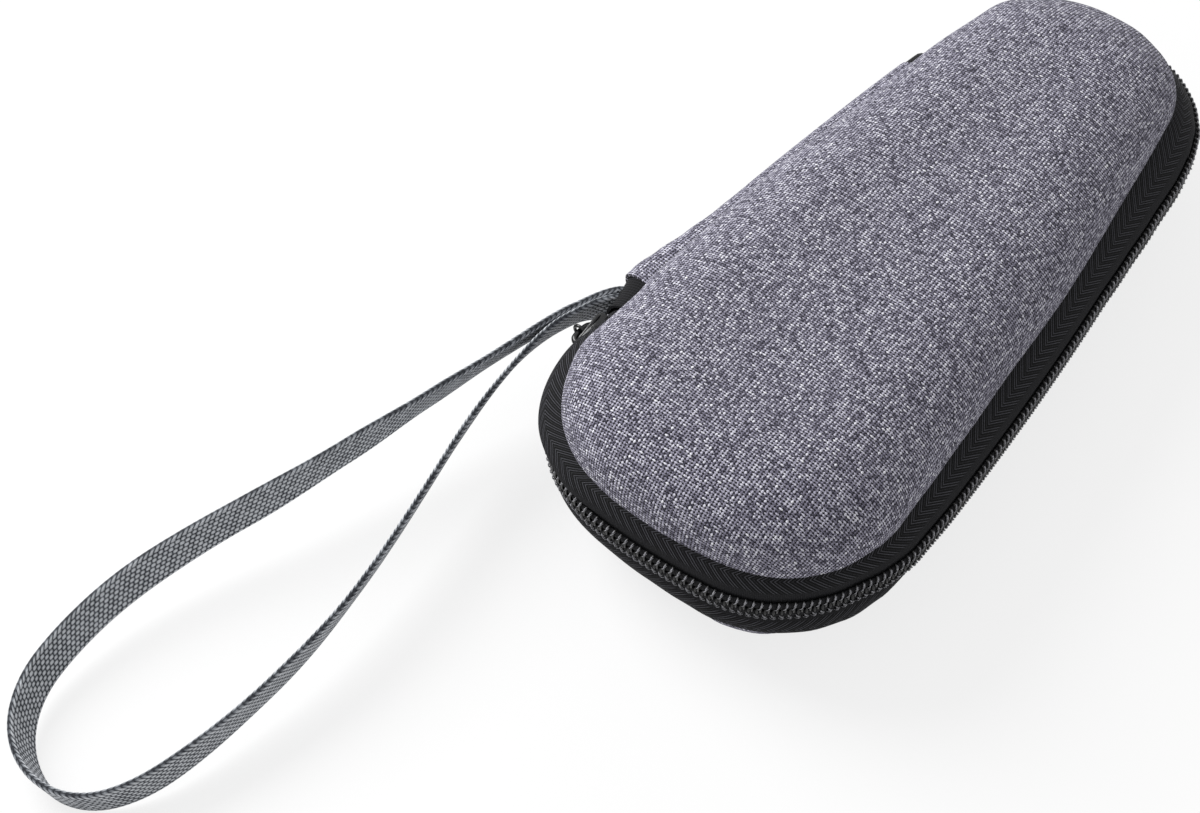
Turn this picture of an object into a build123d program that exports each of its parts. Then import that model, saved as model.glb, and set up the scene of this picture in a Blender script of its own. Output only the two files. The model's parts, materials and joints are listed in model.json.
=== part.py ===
"""Travel case for a beard trimmer: two moulded foam shells, a coil zip round three sides,
a cloth hinge on the fourth and a webbing wrist strap.

Seen from above, the outline is a long egg: the near end (-Y) is wide, the far end (+Y) narrow.
The hinge runs along the -X side and the case opens on the +X side.
"""
import os
from math import cos, radians, sin, sqrt, tan

from build123d import *

# Outline on the line where the two zip rows meet, given by its corners before they are rounded
case_length = 211.7
near_width = 98.9
far_width = 68.1
near_bulge = 8.05
side_bulge = 4.36
far_bulge = 17.2
near_corner = 38.4
far_corner = 30.5

# Shells: depth of each half, its curve, and its wall of outer cloth, foam and lining
base_depth = 25.0
lid_depth = 25.0
mouth_inset = 5.6
mouth_gap = 8.0
wall_rise = 1.7
crown_run = 23.0
wall_turn = 60.0
cloth_thick = 0.8
foam_thick = 3.6
lining_thick = 0.6
glue = 0.05

# Zip: two coil rows on two tapes, and the binding over each seam inside
pitch = 1.856
coil_height = 3.0
coil_depth = 1.5
coil_mesh = 0.55
coil_gap = 0.15
coil_back = 0.2
tape_thick = 0.7
tape_clear = 0.1
tape_edge = 0.2
tape_bend = 0.8
binding_thick = 0.6
binding_under = 4.0
binding_up = 1.3
binding_bend = 0.3

# Hinge side: cloth strip between the zip ends, and a tab folded over each zip end
hinge_near_y = -43.2
hinge_far_y = 57.0
hinge_bow = 0.6
hinge_lining_thick = 0.5
tab_length = 5.0
strap_slot = 7.3
end_gap = 0.3

# Slider on the hinge side, close to the near corner
slider_y = -62.6
slider_length = 10.6
slider_nose = 11.8
slider_tail = 8.6
slider_plate = 1.1
slider_clear = 0.5
slider_round = 2.0
slider_wedge = 1.6
slider_spread = 1.7
bail_length = 7.4
bail_bar = 1.8
bail_window = 1.8
pull_gap = 0.4
pull_wire = 0.9
pull_width = 5.0
pull_thick = 1.2
pull_length = 18.0

# Wrist strap: flat webbing on its edge, sloping down to the floor from its sewn root
strap_width = 10.0
strap_thick = 1.5
strap_tail = 6.5
strap_slope = 0.113
strap_root_y = -48.0
arc_share = 0.45

# Inside: a net pocket in the lid and an elastic band over the base
net_thick = 0.8
net_clear = 0.2
net_mouth_y = 30.0
net_pitch = 6.4
net_hole = 4.6
net_border = 5.0
hem_width = 9.0
hem_thick = 1.2
band_y = 5.0
band_width = 25.0
band_thick = 1.2

split_z = base_depth
wall = cloth_thick + foam_thick + lining_thick + 2 * glue
seat = mouth_gap - tape_clear
binding_level = seat - cloth_thick - tape_clear
binding_face = mouth_inset + wall + 2 * tape_clear
binding_top = mouth_gap + wall_rise + binding_up
lining_strip_face = binding_face + binding_thick + tape_clear
clear_inset = lining_strip_face + hinge_lining_thick + net_clear
near_y = near_bulge - case_length / 2
far_y = case_length / 2 - far_bulge

# Centre line of the strap, seen from above: outer leg, loop, inner leg
strap_route = [
    (-51.7, -48.6), (-56.3, -53.1), (-60.1, -59.3), (-63.0, -67.6), (-67.0, -80.5),
    (-72.2, -98.6), (-77.6, -118.5), (-83.6, -139.0), (-91.0, -158.5), (-96.4, -178.0),
    (-98.3, -195.0), (-96.6, -209.0), (-89.5, -220.0), (-77.5, -225.0), (-66.0, -221.8),
    (-58.3, -212.0), (-53.5, -197.5), (-50.0, -179.0), (-48.8, -160.0), (-50.5, -140.0),
    (-54.0, -119.5), (-58.3, -98.8), (-60.6, -79.5), (-60.4, -67.0), (-57.8, -58.6),
    (-54.3, -53.6), (-50.4, -50.2),
]


def labelled(builder, label):
    """Give a finished piece its name."""
    builder.part.label = label
    return builder.part


def outline_wire():
    """Coil line as one closed wire, counter-clockwise from the middle of the near end."""
    with BuildLine() as line:
        TangentArc((0, -case_length / 2), (near_width / 2, near_y), tangent=(1, 0))
        SagittaArc((near_width / 2, near_y), (far_width / 2, far_y), -side_bulge)
        TangentArc((0, case_length / 2), (far_width / 2, far_y), tangent=(1, 0))
        sharp = line.vertices().sort_by_distance((near_width / 2, near_y))[0]
        fillet(sharp, near_corner)
        sharp = line.vertices().sort_by_distance((far_width / 2, far_y))[0]
        fillet(sharp, far_corner)
        mirror(about=Plane.YZ)
    return line.wire()


outline = outline_wire()


def at(distance):
    """Point and direction on the coil line, so many mm along it from the near end's middle."""
    place = distance % outline.length
    point = outline.position_at(place, position_mode=PositionMode.LENGTH)
    return point, outline.tangent_at(place, position_mode=PositionMode.LENGTH)


def hinge_side(y):
    """Distance along the coil line at which its hinge side passes the given y."""
    low, high = outline.length / 2, outline.length
    while high - low > 0.001:
        middle = (low + high) / 2
        if at(middle)[0].Y > y:
            low = middle
        else:
            high = middle
    return low


def coil_plane(distance):
    """Plane on the coil line: x along it towards the zip's near end, z straight outwards."""
    point, along = at(distance)
    outward = Vector(along.Y, -along.X)
    return Plane(point + Vector(0, 0, split_z), x_dir=-along, z_dir=outward)


slider_at = hinge_side(slider_y)
slider_plane = coil_plane(slider_at)
zip_near = hinge_side(hinge_near_y - strap_slot)
zip_far = hinge_side(hinge_far_y + end_gap)
wedge_tip = slider_length * 0.12


def section_plane(side):
    """Section across the near end: x runs inwards from the coil line, y away from the split."""
    return Plane((0, -case_length / 2, split_z), x_dir=(0, 1, 0), z_dir=(side, 0, 0))


def inset_outline(inset, mode=Mode.ADD):
    """Face inside the outline, on the plane of the sketch that calls it."""
    with BuildSketch() as face:
        with BuildLine():
            add(outline)
        make_face()
        offset(amount=-inset, kind=Kind.INTERSECTION)
    add(face.sketch, mode=mode)


def hinge_window(from_y, to_y, mode):
    """Cut away, or keep, what lies between two y values on the hinge side."""
    with Locations((-near_width / 2, (from_y + to_y) / 2, split_z)):
        Box(near_width, to_y - from_y, base_depth + lid_depth, mode=mode)


def even_strip(points, bend, thickness):
    """Cross section of a strip of even thickness, on the right of a line through the points."""
    with BuildSketch() as strip:
        with BuildLine():
            FilletPolyline(*points, radius=bend)
            offset(amount=thickness, side=Side.RIGHT)
        make_face()
    add(strip.sketch)


def dome_curve(depth, inset):
    """Corner points of a shell's curve, from its mouth to its crown, as many mm inside."""
    turn = radians(wall_turn)
    height = depth - mouth_gap - wall_rise
    share = sin(turn) * cos(turn) - (1 - sin(turn)) * (1 - cos(turn))
    tight = (height * cos(turn) - crown_run * (1 - sin(turn))) / share
    wide = (crown_run * sin(turn) - height * (1 - cos(turn))) / share
    start = Vector(mouth_inset + tight, mouth_gap + wall_rise)
    middle = start + Vector(cos(turn), -sin(turn)) * (wide - tight)
    points = [Vector(mouth_inset + inset, mouth_gap)]
    for centre, radius, angles in (
        (start, tight, (180, 180 - wall_turn / 2, 180 - wall_turn)),
        (middle, wide, (135 - wall_turn / 2, 90)),
    ):
        for angle in angles:
            toward = Vector(cos(radians(angle)), sin(radians(angle)))
            points.append(centre + toward * (radius - inset))
    return points


def shell_layer(label, side, depth, outer, thickness):
    """One layer of a shell: a rim swept round the outline, and the flat crown within it."""
    with BuildPart() as layer:
        with BuildSketch(section_plane(side)):
            with BuildLine():
                ends = []
                for inset in (outer, outer + thickness):
                    mouth, rise, low, turn_point, high, crown = dome_curve(depth, inset)
                    Line(mouth, rise)
                    ThreePointArc(rise, low, turn_point)
                    ThreePointArc(turn_point, high, crown)
                    ends.append((mouth, crown))
                Line(ends[0][0], ends[1][0])
                Line(ends[0][1], ends[1][1])
            make_face()
        sweep(path=outline)
        crown_z = [split_z + side * end[1].Y for end in ends]
        with BuildSketch(Plane.XY.offset(min(crown_z))):
            inset_outline(ends[0][1].X)
        extrude(amount=abs(crown_z[0] - crown_z[1]))
    return labelled(layer, label)


def zip_tape(label, side):
    """Woven tape: behind the coil row, out to the cloth's mouth and in under the shell's wall."""
    back = coil_depth + coil_back
    line = [(back, tape_edge), (back, coil_height), (mouth_inset + tape_bend, seat)]
    line.append((mouth_inset + wall, seat))
    open_length = slider_at - zip_near
    with BuildPart() as tape:
        with BuildSketch(section_plane(side)):
            even_strip(line, tape_bend, tape_thick)
        sweep(path=outline)
        near_end = hinge_near_y - strap_slot - tab_length - end_gap
        hinge_window(near_end, hinge_far_y + tab_length + 2 * end_gap, Mode.SUBTRACT)
        with BuildSketch(slider_plane.offset(-back - 2 * tape_thick)):
            with Locations((wedge_tip - slider_clear, 0)):
                Rectangle(open_length, slider_wedge + 2 * slider_clear, align=(Align.MIN, Align.CENTER))
        extrude(amount=2 * tape_thick + coil_back, mode=Mode.SUBTRACT)
    return labelled(tape, label)


def spread(distance):
    """How far each row stands off the split: opened by the slider, and closed behind it."""
    share = (slider_at - distance) / slider_length + 0.5
    share = min(max(share * 1.25, 0), 1)
    return slider_spread * share * share * (3 - 2 * share)


def coil_row(label, side):
    """One coil row: a tooth each pitch, half a pitch on from the teeth of the other row."""
    distance = zip_near + tab_length + (0.5 + 0.25 * side) * pitch
    places = []
    while distance < zip_far + outline.length - tab_length - pitch / 2:
        lift = spread(distance) + (coil_height - coil_mesh) / 2
        places.append(coil_plane(distance).location * Pos(0, -side * lift, -coil_depth))
        distance += pitch
    with BuildPart() as row:
        with Locations(*places):
            Box(
                pitch / 2 - coil_gap,
                coil_height + coil_mesh,
                coil_depth,
                align=(Align.CENTER, Align.CENTER, Align.MIN),
            )
    return labelled(row, label)


def zip_tab(label, from_y, to_y):
    """Tape end folded over both coil rows where the zip stops."""
    return bowed_cloth(label, from_y, to_y, tape_thick, hinge_bow)


def bowed_cloth(label, from_y, to_y, thickness, bow):
    """Cloth that bridges the two mouths on the hinge side, bowed out past the coil line."""
    knee = mouth_inset + tape_bend
    with BuildPart() as cloth:
        with BuildSketch(section_plane(1)):
            with BuildLine():
                Line((mouth_inset + wall, seat), (knee, seat))
                ThreePointArc((knee, seat), (-bow, 0), (knee, -seat))
                Line((knee, -seat), (mouth_inset + wall, -seat))
                offset(amount=thickness, side=Side.LEFT)
            make_face()
        sweep(path=outline)
        hinge_window(from_y, to_y, Mode.INTERSECT)
    return labelled(cloth, label)


def mouth_binding(label, side):
    """Narrow tape that covers the seam inside a shell's mouth, under the wall and up inside it."""
    line = [(mouth_inset + wall - binding_under, binding_level), (binding_face, binding_level)]
    line.append((binding_face, binding_top))
    with BuildPart() as binding:
        with BuildSketch(section_plane(side)):
            even_strip(line, binding_bend, binding_thick)
        sweep(path=outline)
    return labelled(binding, label)


def hinge_lining():
    """Inner cloth strip over both bindings along the hinge."""
    with BuildPart() as strip:
        with BuildSketch(section_plane(1)):
            with Locations((lining_strip_face + hinge_lining_thick / 2, 0)):
                Rectangle(hinge_lining_thick, 2 * binding_top)
        sweep(path=outline)
        hinge_window(hinge_near_y, hinge_far_y, Mode.INTERSECT)
    return labelled(strip, "hinge_lining")


def shield(tail, nose, length, corner):
    """Slider outline: narrow at the tail, wide at the nose, with rounded corners."""
    with BuildSketch() as outline_face:
        with BuildLine():
            Polyline(
                (-length / 2, -tail / 2),
                (length / 2, -nose / 2),
                (length / 2, nose / 2),
                (-length / 2, tail / 2),
                close=True,
            )
        make_face()
        if corner:
            fillet(outline_face.vertices(), corner)
    add(outline_face.sketch)


def slider_body():
    """Slider: outer plate with lips, wedge between the rows, and a plate behind the tapes."""
    channel_tail = 2 * (coil_height + slider_clear)
    channel_nose = channel_tail + 2 * slider_spread
    lip = coil_depth - slider_clear
    inner_face = -(coil_depth + coil_back + tape_thick + slider_clear)
    with BuildPart() as slider:
        with BuildSketch(slider_plane.offset(-lip)):
            shield(slider_tail, slider_nose, slider_length, slider_round)
        extrude(amount=lip + slider_clear + slider_plate)
        with BuildSketch(slider_plane.offset(-lip)):
            shield(channel_tail, channel_nose, slider_length, 0)
        extrude(amount=lip + slider_clear, mode=Mode.SUBTRACT)
        with BuildSketch(slider_plane.offset(inner_face - slider_plate)):
            inner_width = channel_tail - 4 * slider_clear
            shield(inner_width, inner_width, slider_length, slider_round)
        extrude(amount=slider_plate)
        with BuildSketch(slider_plane.offset(inner_face - slider_plate)):
            with BuildLine():
                back = slider_length / 2 - slider_clear
                Polyline((wedge_tip, 0), (back, -slider_wedge / 2), (back, slider_wedge / 2), close=True)
            make_face()
        extrude(amount=slider_plate - inner_face + slider_clear + slider_plate)
    return labelled(slider, "slider_body")


plate_face = slider_clear + slider_plate
bar_height = plate_face + bail_window + bail_bar / 2


def slider_bail():
    """Arched bail on the slider's face, with a round bar that the pull hangs from."""
    foot = (bail_length - 2 * bail_window) / 2
    bar_plane = Plane(
        slider_plane.origin + slider_plane.z_dir * bar_height - slider_plane.x_dir * bail_length / 2,
        x_dir=slider_plane.y_dir,
        z_dir=slider_plane.x_dir,
    )
    with BuildPart() as bail:
        with BuildSketch(bar_plane):
            Circle(bail_bar / 2)
        extrude(amount=bail_length)
        with BuildSketch(slider_plane.offset(plate_face)):
            with Locations((-bail_length / 2 + foot / 4, 0), (bail_length / 2 - foot / 4, 0)):
                Rectangle(foot / 2, bail_bar)
        extrude(amount=bail_window + bail_bar / 2)
    return labelled(bail, "slider_bail")


def zip_pull():
    """Cast pull: a ring round the bail's bar, and a flat tab that hangs below it."""
    ring = bail_bar / 2 + pull_gap
    axis_point = slider_plane.origin + slider_plane.z_dir * bar_height
    ring_plane = Plane(axis_point, x_dir=slider_plane.y_dir, z_dir=slider_plane.x_dir)
    tab_plane = Plane(axis_point, x_dir=slider_plane.x_dir, z_dir=slider_plane.z_dir)
    with BuildPart() as pull:
        with BuildSketch(ring_plane):
            Circle(ring + pull_wire)
            Circle(ring, mode=Mode.SUBTRACT)
        extrude(amount=pull_thick / 2, both=True)
        with BuildSketch(tab_plane):
            with Locations((0, ring + pull_wire / 2 + pull_length / 2)):
                RectangleRounded(pull_width, pull_length, pull_width / 2 - 0.1)
            with Locations((0, ring + pull_length - pull_width / 4)):
                Circle(pull_width / 5, mode=Mode.SUBTRACT)
        extrude(amount=pull_thick / 2, both=True)
    return labelled(pull, "zip_pull")


strap_plane = Plane(
    (0, strap_root_y, split_z),
    x_dir=(1, 0, 0),
    z_dir=(0, -strap_slope, 1),
)


def on_slope(point):
    """A point seen from above, in the strap plane's own x and y."""
    return point[0], (point[1] - strap_root_y) * sqrt(1 + strap_slope**2)


def corner_radii(points):
    """Arc at each corner of a route, as large as its two runs allow."""
    runs = [Vector(*b) - Vector(*a) for a, b in zip(points, points[1:])]
    radii = []
    for before, after in zip(runs, runs[1:]):
        half_turn = radians(before.get_angle(after)) / 2
        radii.append(arc_share * min(before.length, after.length) / tan(half_turn))
    return radii


def wrist_strap():
    """Webbing band on its edge along the route."""
    points = [on_slope(point) for point in strap_route]
    radii = corner_radii(points)
    print("strap radii", [round(radius, 1) for radius in radii])
    with BuildLine(strap_plane) as centre:
        FilletPolyline(*points, radius=radii)
    path = centre.wire()
    start = Plane(path.position_at(0), x_dir=strap_plane.z_dir, z_dir=path.tangent_at(0))
    with BuildPart() as strap:
        with BuildSketch(start):
            Rectangle(strap_width, strap_thick)
        sweep(path=path)
    expected = path.length * strap_width * strap_thick
    print("strap length", round(path.length, 1), "volume share", round(strap.part.volume / expected, 4))
    return labelled(strap, "wrist_strap")


def strap_anchor():
    """Both strap ends, stacked and sewn into the seam between the hinge cloth and the zip tab."""
    first, last = (Vector(*on_slope(point)) for point in (strap_route[0], strap_route[-1]))
    after_first, before_last = (Vector(*on_slope(point)) for point in (strap_route[1], strap_route[-2]))
    heading = ((first - after_first).normalized() + (last - before_last).normalized()).normalized()
    across = Vector(-heading.Y, heading.X)
    half = abs((first - last).dot(across)) / 2 + strap_thick / 2
    middle = (first + last) * 0.5
    with BuildPart() as anchor:
        with BuildSketch(strap_plane):
            with BuildLine():
                Polyline(
                    middle + across * half + heading * end_gap,
                    middle + across * half + heading * strap_tail,
                    middle - across * half + heading * strap_tail,
                    middle - across * half + heading * end_gap,
                    close=True,
                )
            make_face()
        extrude(amount=strap_width / 2, both=True)
    return labelled(anchor, "strap_anchor")


def lid_pocket():
    """Net and its hem, flat across the lid at its mouth, inside the binding."""
    level = split_z + mouth_gap
    with BuildPart() as net:
        with BuildSketch(Plane.XY.offset(level)):
            inset_outline(clear_inset)
            with BuildSketch(mode=Mode.PRIVATE) as holes:
                count = int(case_length / net_pitch)
                with Locations(Location((0, near_y, 0), (0, 0, 45))):
                    with GridLocations(net_pitch, net_pitch, count, count):
                        Rectangle(net_hole, net_hole)
                inset_outline(clear_inset + net_border, Mode.INTERSECT)
                with Locations((0, net_mouth_y - net_border)):
                    Rectangle(near_width, case_length, align=(Align.CENTER, Align.MAX), mode=Mode.INTERSECT)
            add(holes.sketch, mode=Mode.SUBTRACT)
            with Locations((0, net_mouth_y)):
                Rectangle(near_width, case_length, align=(Align.CENTER, Align.MAX), mode=Mode.INTERSECT)
        extrude(amount=net_thick)
    with BuildPart() as hem:
        with BuildSketch(Plane.XY.offset(level)):
            inset_outline(clear_inset)
            with Locations((0, net_mouth_y + glue + hem_width / 2)):
                Rectangle(near_width, hem_width, mode=Mode.INTERSECT)
        extrude(amount=hem_thick)
    return labelled(net, "lid_net_pocket"), labelled(hem, "net_pocket_hem")


def base_band():
    """Elastic band across the base that holds the trimmer down."""
    with BuildPart() as band:
        with BuildSketch(Plane.XY.offset(split_z - mouth_gap - band_thick)):
            inset_outline(clear_inset)
            with Locations((0, band_y)):
                Rectangle(near_width, band_width, mode=Mode.INTERSECT)
        extrude(amount=band_thick)
    return labelled(band, "base_elastic_band")


foam_outer = cloth_thick + glue
lining_outer = foam_outer + foam_thick + glue
pieces = []
for half, side, depth in (("base", -1, base_depth), ("lid", 1, lid_depth)):
    pieces += [
        shell_layer(f"{half}_outer_cloth", side, depth, 0, cloth_thick),
        shell_layer(f"{half}_foam_shell", side, depth, foam_outer, foam_thick),
        shell_layer(f"{half}_lining", side, depth, lining_outer, lining_thick),
        mouth_binding(f"{half}_binding", side),
        zip_tape(f"{half}_zip_tape", side),
        coil_row(f"{half}_zip_coil", side),
    ]
near_tab_y = hinge_near_y - strap_slot
far_tab_y = hinge_far_y + end_gap
pieces += [
    bowed_cloth("hinge_cloth", hinge_near_y, hinge_far_y, cloth_thick, hinge_bow),
    hinge_lining(),
    zip_tab("near_zip_tab", near_tab_y - tab_length, near_tab_y),
    zip_tab("far_zip_tab", far_tab_y, far_tab_y + tab_length),
    slider_body(),
    slider_bail(),
    zip_pull(),
    wrist_strap(),
    strap_anchor(),
    *lid_pocket(),
    base_band(),
]

os.makedirs("parts", exist_ok=True)
for piece in pieces:
    export_step(piece, f"parts/{piece.label}.step")
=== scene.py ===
"""Looks of a zipped travel case for a beard trimmer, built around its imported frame.

Lengths in the helpers are in millimetres, and turn into metres where a mesh is made.
The rim is the line where the two zip rows meet. It is measured from the middle of the near end,
first along the opening side and back along the hinge side.
"""
import json
import math

import bpy
from mathutils import Matrix, Vector
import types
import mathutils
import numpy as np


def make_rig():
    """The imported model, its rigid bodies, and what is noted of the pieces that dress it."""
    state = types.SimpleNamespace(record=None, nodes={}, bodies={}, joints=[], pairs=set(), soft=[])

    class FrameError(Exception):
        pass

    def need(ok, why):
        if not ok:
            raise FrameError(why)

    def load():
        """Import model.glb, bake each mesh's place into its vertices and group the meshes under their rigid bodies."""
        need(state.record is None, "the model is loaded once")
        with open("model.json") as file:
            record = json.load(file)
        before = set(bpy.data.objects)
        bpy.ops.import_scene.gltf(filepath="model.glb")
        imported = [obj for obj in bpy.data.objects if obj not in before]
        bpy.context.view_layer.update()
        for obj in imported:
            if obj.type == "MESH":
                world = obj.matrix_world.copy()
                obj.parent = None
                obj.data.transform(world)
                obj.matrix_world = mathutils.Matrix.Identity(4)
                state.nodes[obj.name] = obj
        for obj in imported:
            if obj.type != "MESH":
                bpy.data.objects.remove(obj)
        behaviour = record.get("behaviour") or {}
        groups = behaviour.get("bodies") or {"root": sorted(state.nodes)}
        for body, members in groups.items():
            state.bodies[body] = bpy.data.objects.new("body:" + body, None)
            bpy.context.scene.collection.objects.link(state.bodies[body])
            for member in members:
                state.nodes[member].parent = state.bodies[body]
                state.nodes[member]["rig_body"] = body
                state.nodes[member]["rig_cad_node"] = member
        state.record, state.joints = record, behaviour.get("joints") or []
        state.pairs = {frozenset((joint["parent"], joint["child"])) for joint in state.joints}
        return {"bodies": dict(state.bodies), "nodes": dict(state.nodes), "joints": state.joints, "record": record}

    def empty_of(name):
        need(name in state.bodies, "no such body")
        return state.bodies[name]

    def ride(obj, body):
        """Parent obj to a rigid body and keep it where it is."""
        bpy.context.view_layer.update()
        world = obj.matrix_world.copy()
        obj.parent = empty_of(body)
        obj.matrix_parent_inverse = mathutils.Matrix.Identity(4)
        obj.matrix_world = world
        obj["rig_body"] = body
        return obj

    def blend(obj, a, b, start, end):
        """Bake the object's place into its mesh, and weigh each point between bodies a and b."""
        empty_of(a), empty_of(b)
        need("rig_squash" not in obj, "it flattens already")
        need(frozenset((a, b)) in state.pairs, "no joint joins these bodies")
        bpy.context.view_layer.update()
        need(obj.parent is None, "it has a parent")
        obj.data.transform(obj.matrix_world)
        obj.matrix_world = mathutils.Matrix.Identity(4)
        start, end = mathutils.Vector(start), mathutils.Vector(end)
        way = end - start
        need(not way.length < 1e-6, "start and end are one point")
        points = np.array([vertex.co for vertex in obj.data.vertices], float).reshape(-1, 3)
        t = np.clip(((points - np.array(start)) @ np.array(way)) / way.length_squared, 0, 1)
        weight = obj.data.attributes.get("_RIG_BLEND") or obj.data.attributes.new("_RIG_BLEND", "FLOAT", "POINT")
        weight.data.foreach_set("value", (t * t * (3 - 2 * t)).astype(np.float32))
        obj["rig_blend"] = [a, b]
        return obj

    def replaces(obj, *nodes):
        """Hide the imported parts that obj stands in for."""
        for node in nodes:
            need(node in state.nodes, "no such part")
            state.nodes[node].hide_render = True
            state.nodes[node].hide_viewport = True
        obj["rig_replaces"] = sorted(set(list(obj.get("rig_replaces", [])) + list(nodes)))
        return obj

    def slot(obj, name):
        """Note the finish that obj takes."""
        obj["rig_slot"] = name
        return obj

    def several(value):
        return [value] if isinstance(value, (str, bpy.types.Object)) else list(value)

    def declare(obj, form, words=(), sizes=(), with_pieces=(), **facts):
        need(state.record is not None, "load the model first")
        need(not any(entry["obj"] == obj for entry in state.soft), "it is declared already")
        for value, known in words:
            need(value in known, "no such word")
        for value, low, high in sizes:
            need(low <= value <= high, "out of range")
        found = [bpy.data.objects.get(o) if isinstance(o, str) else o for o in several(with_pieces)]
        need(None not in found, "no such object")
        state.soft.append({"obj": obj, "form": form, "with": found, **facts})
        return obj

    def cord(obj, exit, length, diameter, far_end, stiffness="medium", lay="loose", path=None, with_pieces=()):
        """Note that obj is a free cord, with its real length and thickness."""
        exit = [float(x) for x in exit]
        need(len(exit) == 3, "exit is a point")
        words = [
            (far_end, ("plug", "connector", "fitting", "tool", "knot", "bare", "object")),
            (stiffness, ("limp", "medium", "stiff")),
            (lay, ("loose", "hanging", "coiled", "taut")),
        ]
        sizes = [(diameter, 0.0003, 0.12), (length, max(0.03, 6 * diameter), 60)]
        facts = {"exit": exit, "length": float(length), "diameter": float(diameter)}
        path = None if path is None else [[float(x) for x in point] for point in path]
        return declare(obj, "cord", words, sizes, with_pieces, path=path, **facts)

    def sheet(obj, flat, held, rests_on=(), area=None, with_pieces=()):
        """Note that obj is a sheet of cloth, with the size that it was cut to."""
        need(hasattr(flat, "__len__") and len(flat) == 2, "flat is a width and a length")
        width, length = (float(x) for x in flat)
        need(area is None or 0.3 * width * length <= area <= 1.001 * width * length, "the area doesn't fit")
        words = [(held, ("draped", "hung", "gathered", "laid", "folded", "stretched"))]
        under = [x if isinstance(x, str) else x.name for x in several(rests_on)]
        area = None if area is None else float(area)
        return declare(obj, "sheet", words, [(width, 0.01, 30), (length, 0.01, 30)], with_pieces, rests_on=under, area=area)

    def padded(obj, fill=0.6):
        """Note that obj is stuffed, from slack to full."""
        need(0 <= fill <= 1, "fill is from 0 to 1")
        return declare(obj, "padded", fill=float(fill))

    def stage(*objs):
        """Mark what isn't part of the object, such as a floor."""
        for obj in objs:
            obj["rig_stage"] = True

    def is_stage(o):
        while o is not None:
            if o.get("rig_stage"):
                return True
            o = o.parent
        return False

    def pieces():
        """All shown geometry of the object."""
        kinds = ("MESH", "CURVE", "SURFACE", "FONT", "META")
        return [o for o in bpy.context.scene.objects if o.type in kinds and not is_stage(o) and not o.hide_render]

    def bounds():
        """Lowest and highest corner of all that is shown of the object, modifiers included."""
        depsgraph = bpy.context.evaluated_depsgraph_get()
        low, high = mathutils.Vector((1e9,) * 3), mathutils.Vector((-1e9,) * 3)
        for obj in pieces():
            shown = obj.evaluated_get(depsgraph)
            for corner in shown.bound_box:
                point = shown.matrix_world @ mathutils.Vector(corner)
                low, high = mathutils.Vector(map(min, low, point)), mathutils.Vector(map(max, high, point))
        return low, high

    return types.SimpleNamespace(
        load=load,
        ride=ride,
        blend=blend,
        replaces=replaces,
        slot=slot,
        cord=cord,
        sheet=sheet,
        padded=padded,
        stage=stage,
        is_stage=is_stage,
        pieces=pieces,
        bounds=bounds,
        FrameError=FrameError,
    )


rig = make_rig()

bl_info = {
    "name": "Trimmer travel case",
    "version": (1, 0, 0),
    "blender": (4, 5, 0),
    "location": "View3D > Sidebar > Case",
    "description": "Builds the cloth, zip and strap of a trimmer's travel case around its packed frame",
    "category": "Add Mesh",
}

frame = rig.load()
cad_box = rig.bounds()

MM = 0.001
# Height of the plane that parts the lid from the base
SPLIT = 25.0

# Centre, radius and length of the arcs of half the rim, from the near end to the far end
HALF_RIM = (
    ((0.0, 50.057), 155.907, 14.483),
    ((10.900, -66.943), 38.4, 57.548),
    ((-956.134, -86.996), 1005.642, 145.856),
    ((5.640, 73.915), 30.5, 27.659),
    ((0.0, 63.546), 42.304, 21.075),
)
HALF_LENGTH = sum(arc[2] for arc in HALF_RIM)
RIM_LENGTH = 2 * HALF_LENGTH

# How far a shell's mouth lies inside the rim, at places right round it. The soft case isn't quite even.
NOMINAL_INSET = 5.6
# The most that any ring of a shell lies inside the rim
TIGHTEST = 30.0
LID_INSET = (
    (0, 3.5), (17, 3.9), (37, 3.3), (46, 3.6), (60, 4.7), (80, 5.6), (100, 6.2), (120, 6.7), (150, 6.3),
    (190, 6.9), (205, 6.8), (225, 6.8), (250, 8.7), (265, 9.6), (290, 9.5), (315, 7.0), (335, 6.1),
    (365, 6.9), (395, 5.7), (440, 5.6), (450, 6.5), (460, 6.2), (473, 4.8), (493, 4.1), (513, 4.1),
    (523, 3.6), (534, 3.5),
)
BASE_INSET = (
    (0, 3.2), (10, 2.8), (20, 1.3), (28, 1.2), (42, 3.2), (60, 4.2), (75, 5.2), (110, 6.2), (225, 6.6),
    (300, 6.6), (400, 5.8), (470, 5.2), (513, 3.4), (534, 3.2),
)
# How far the outer edge of the base's tape lies inside the rim, where it laps over the cloth
BASE_LAP = (
    (0, 1.2), (10, 0.8), (20, 0.3), (30, 0.1), (40, 0.4), (50, 1.2), (60, 2.3), (75, 4.6), (110, 6.0),
    (225, 6.4), (300, 6.4), (400, 5.6), (470, 4.6), (490, 3.4), (513, 2.0), (534, 1.2),
)

# How far the zip lies inside the even outline, where the case is a little out of true
ZIP_TUCK = (
    (0, 0), (14, 0), (22, -0.3), (30, -0.5), (38, 0), (46, 0.5), (54, 1.1), (62, 0.7), (72, 0.1), (86, -0.3),
    (160, -0.4), (174, -0.8), (190, -1.4), (206, -2.1), (214, -1.8), (222, -0.9), (230, 0), (240, 0.5),
    (285, 0), (303, 1.3), (330, 1.6), (345, 0), (452, 0), (468, -0.7), (484, -0.9), (500, -0.5), (515, 0),
    (534, 0),
)

# How far the lid's tape juts over its coil row, which it hides between the slider and the near end
TAPE_BROW = ((0, 0), (430, 0), (446, 1.0), (462, 1.9), (488, 1.9), (505, 1.0), (522, 0), (534, 0))

# Share of that overhang by which the coil behind it draws in
COIL_DRAWN_IN = 0.45

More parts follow.
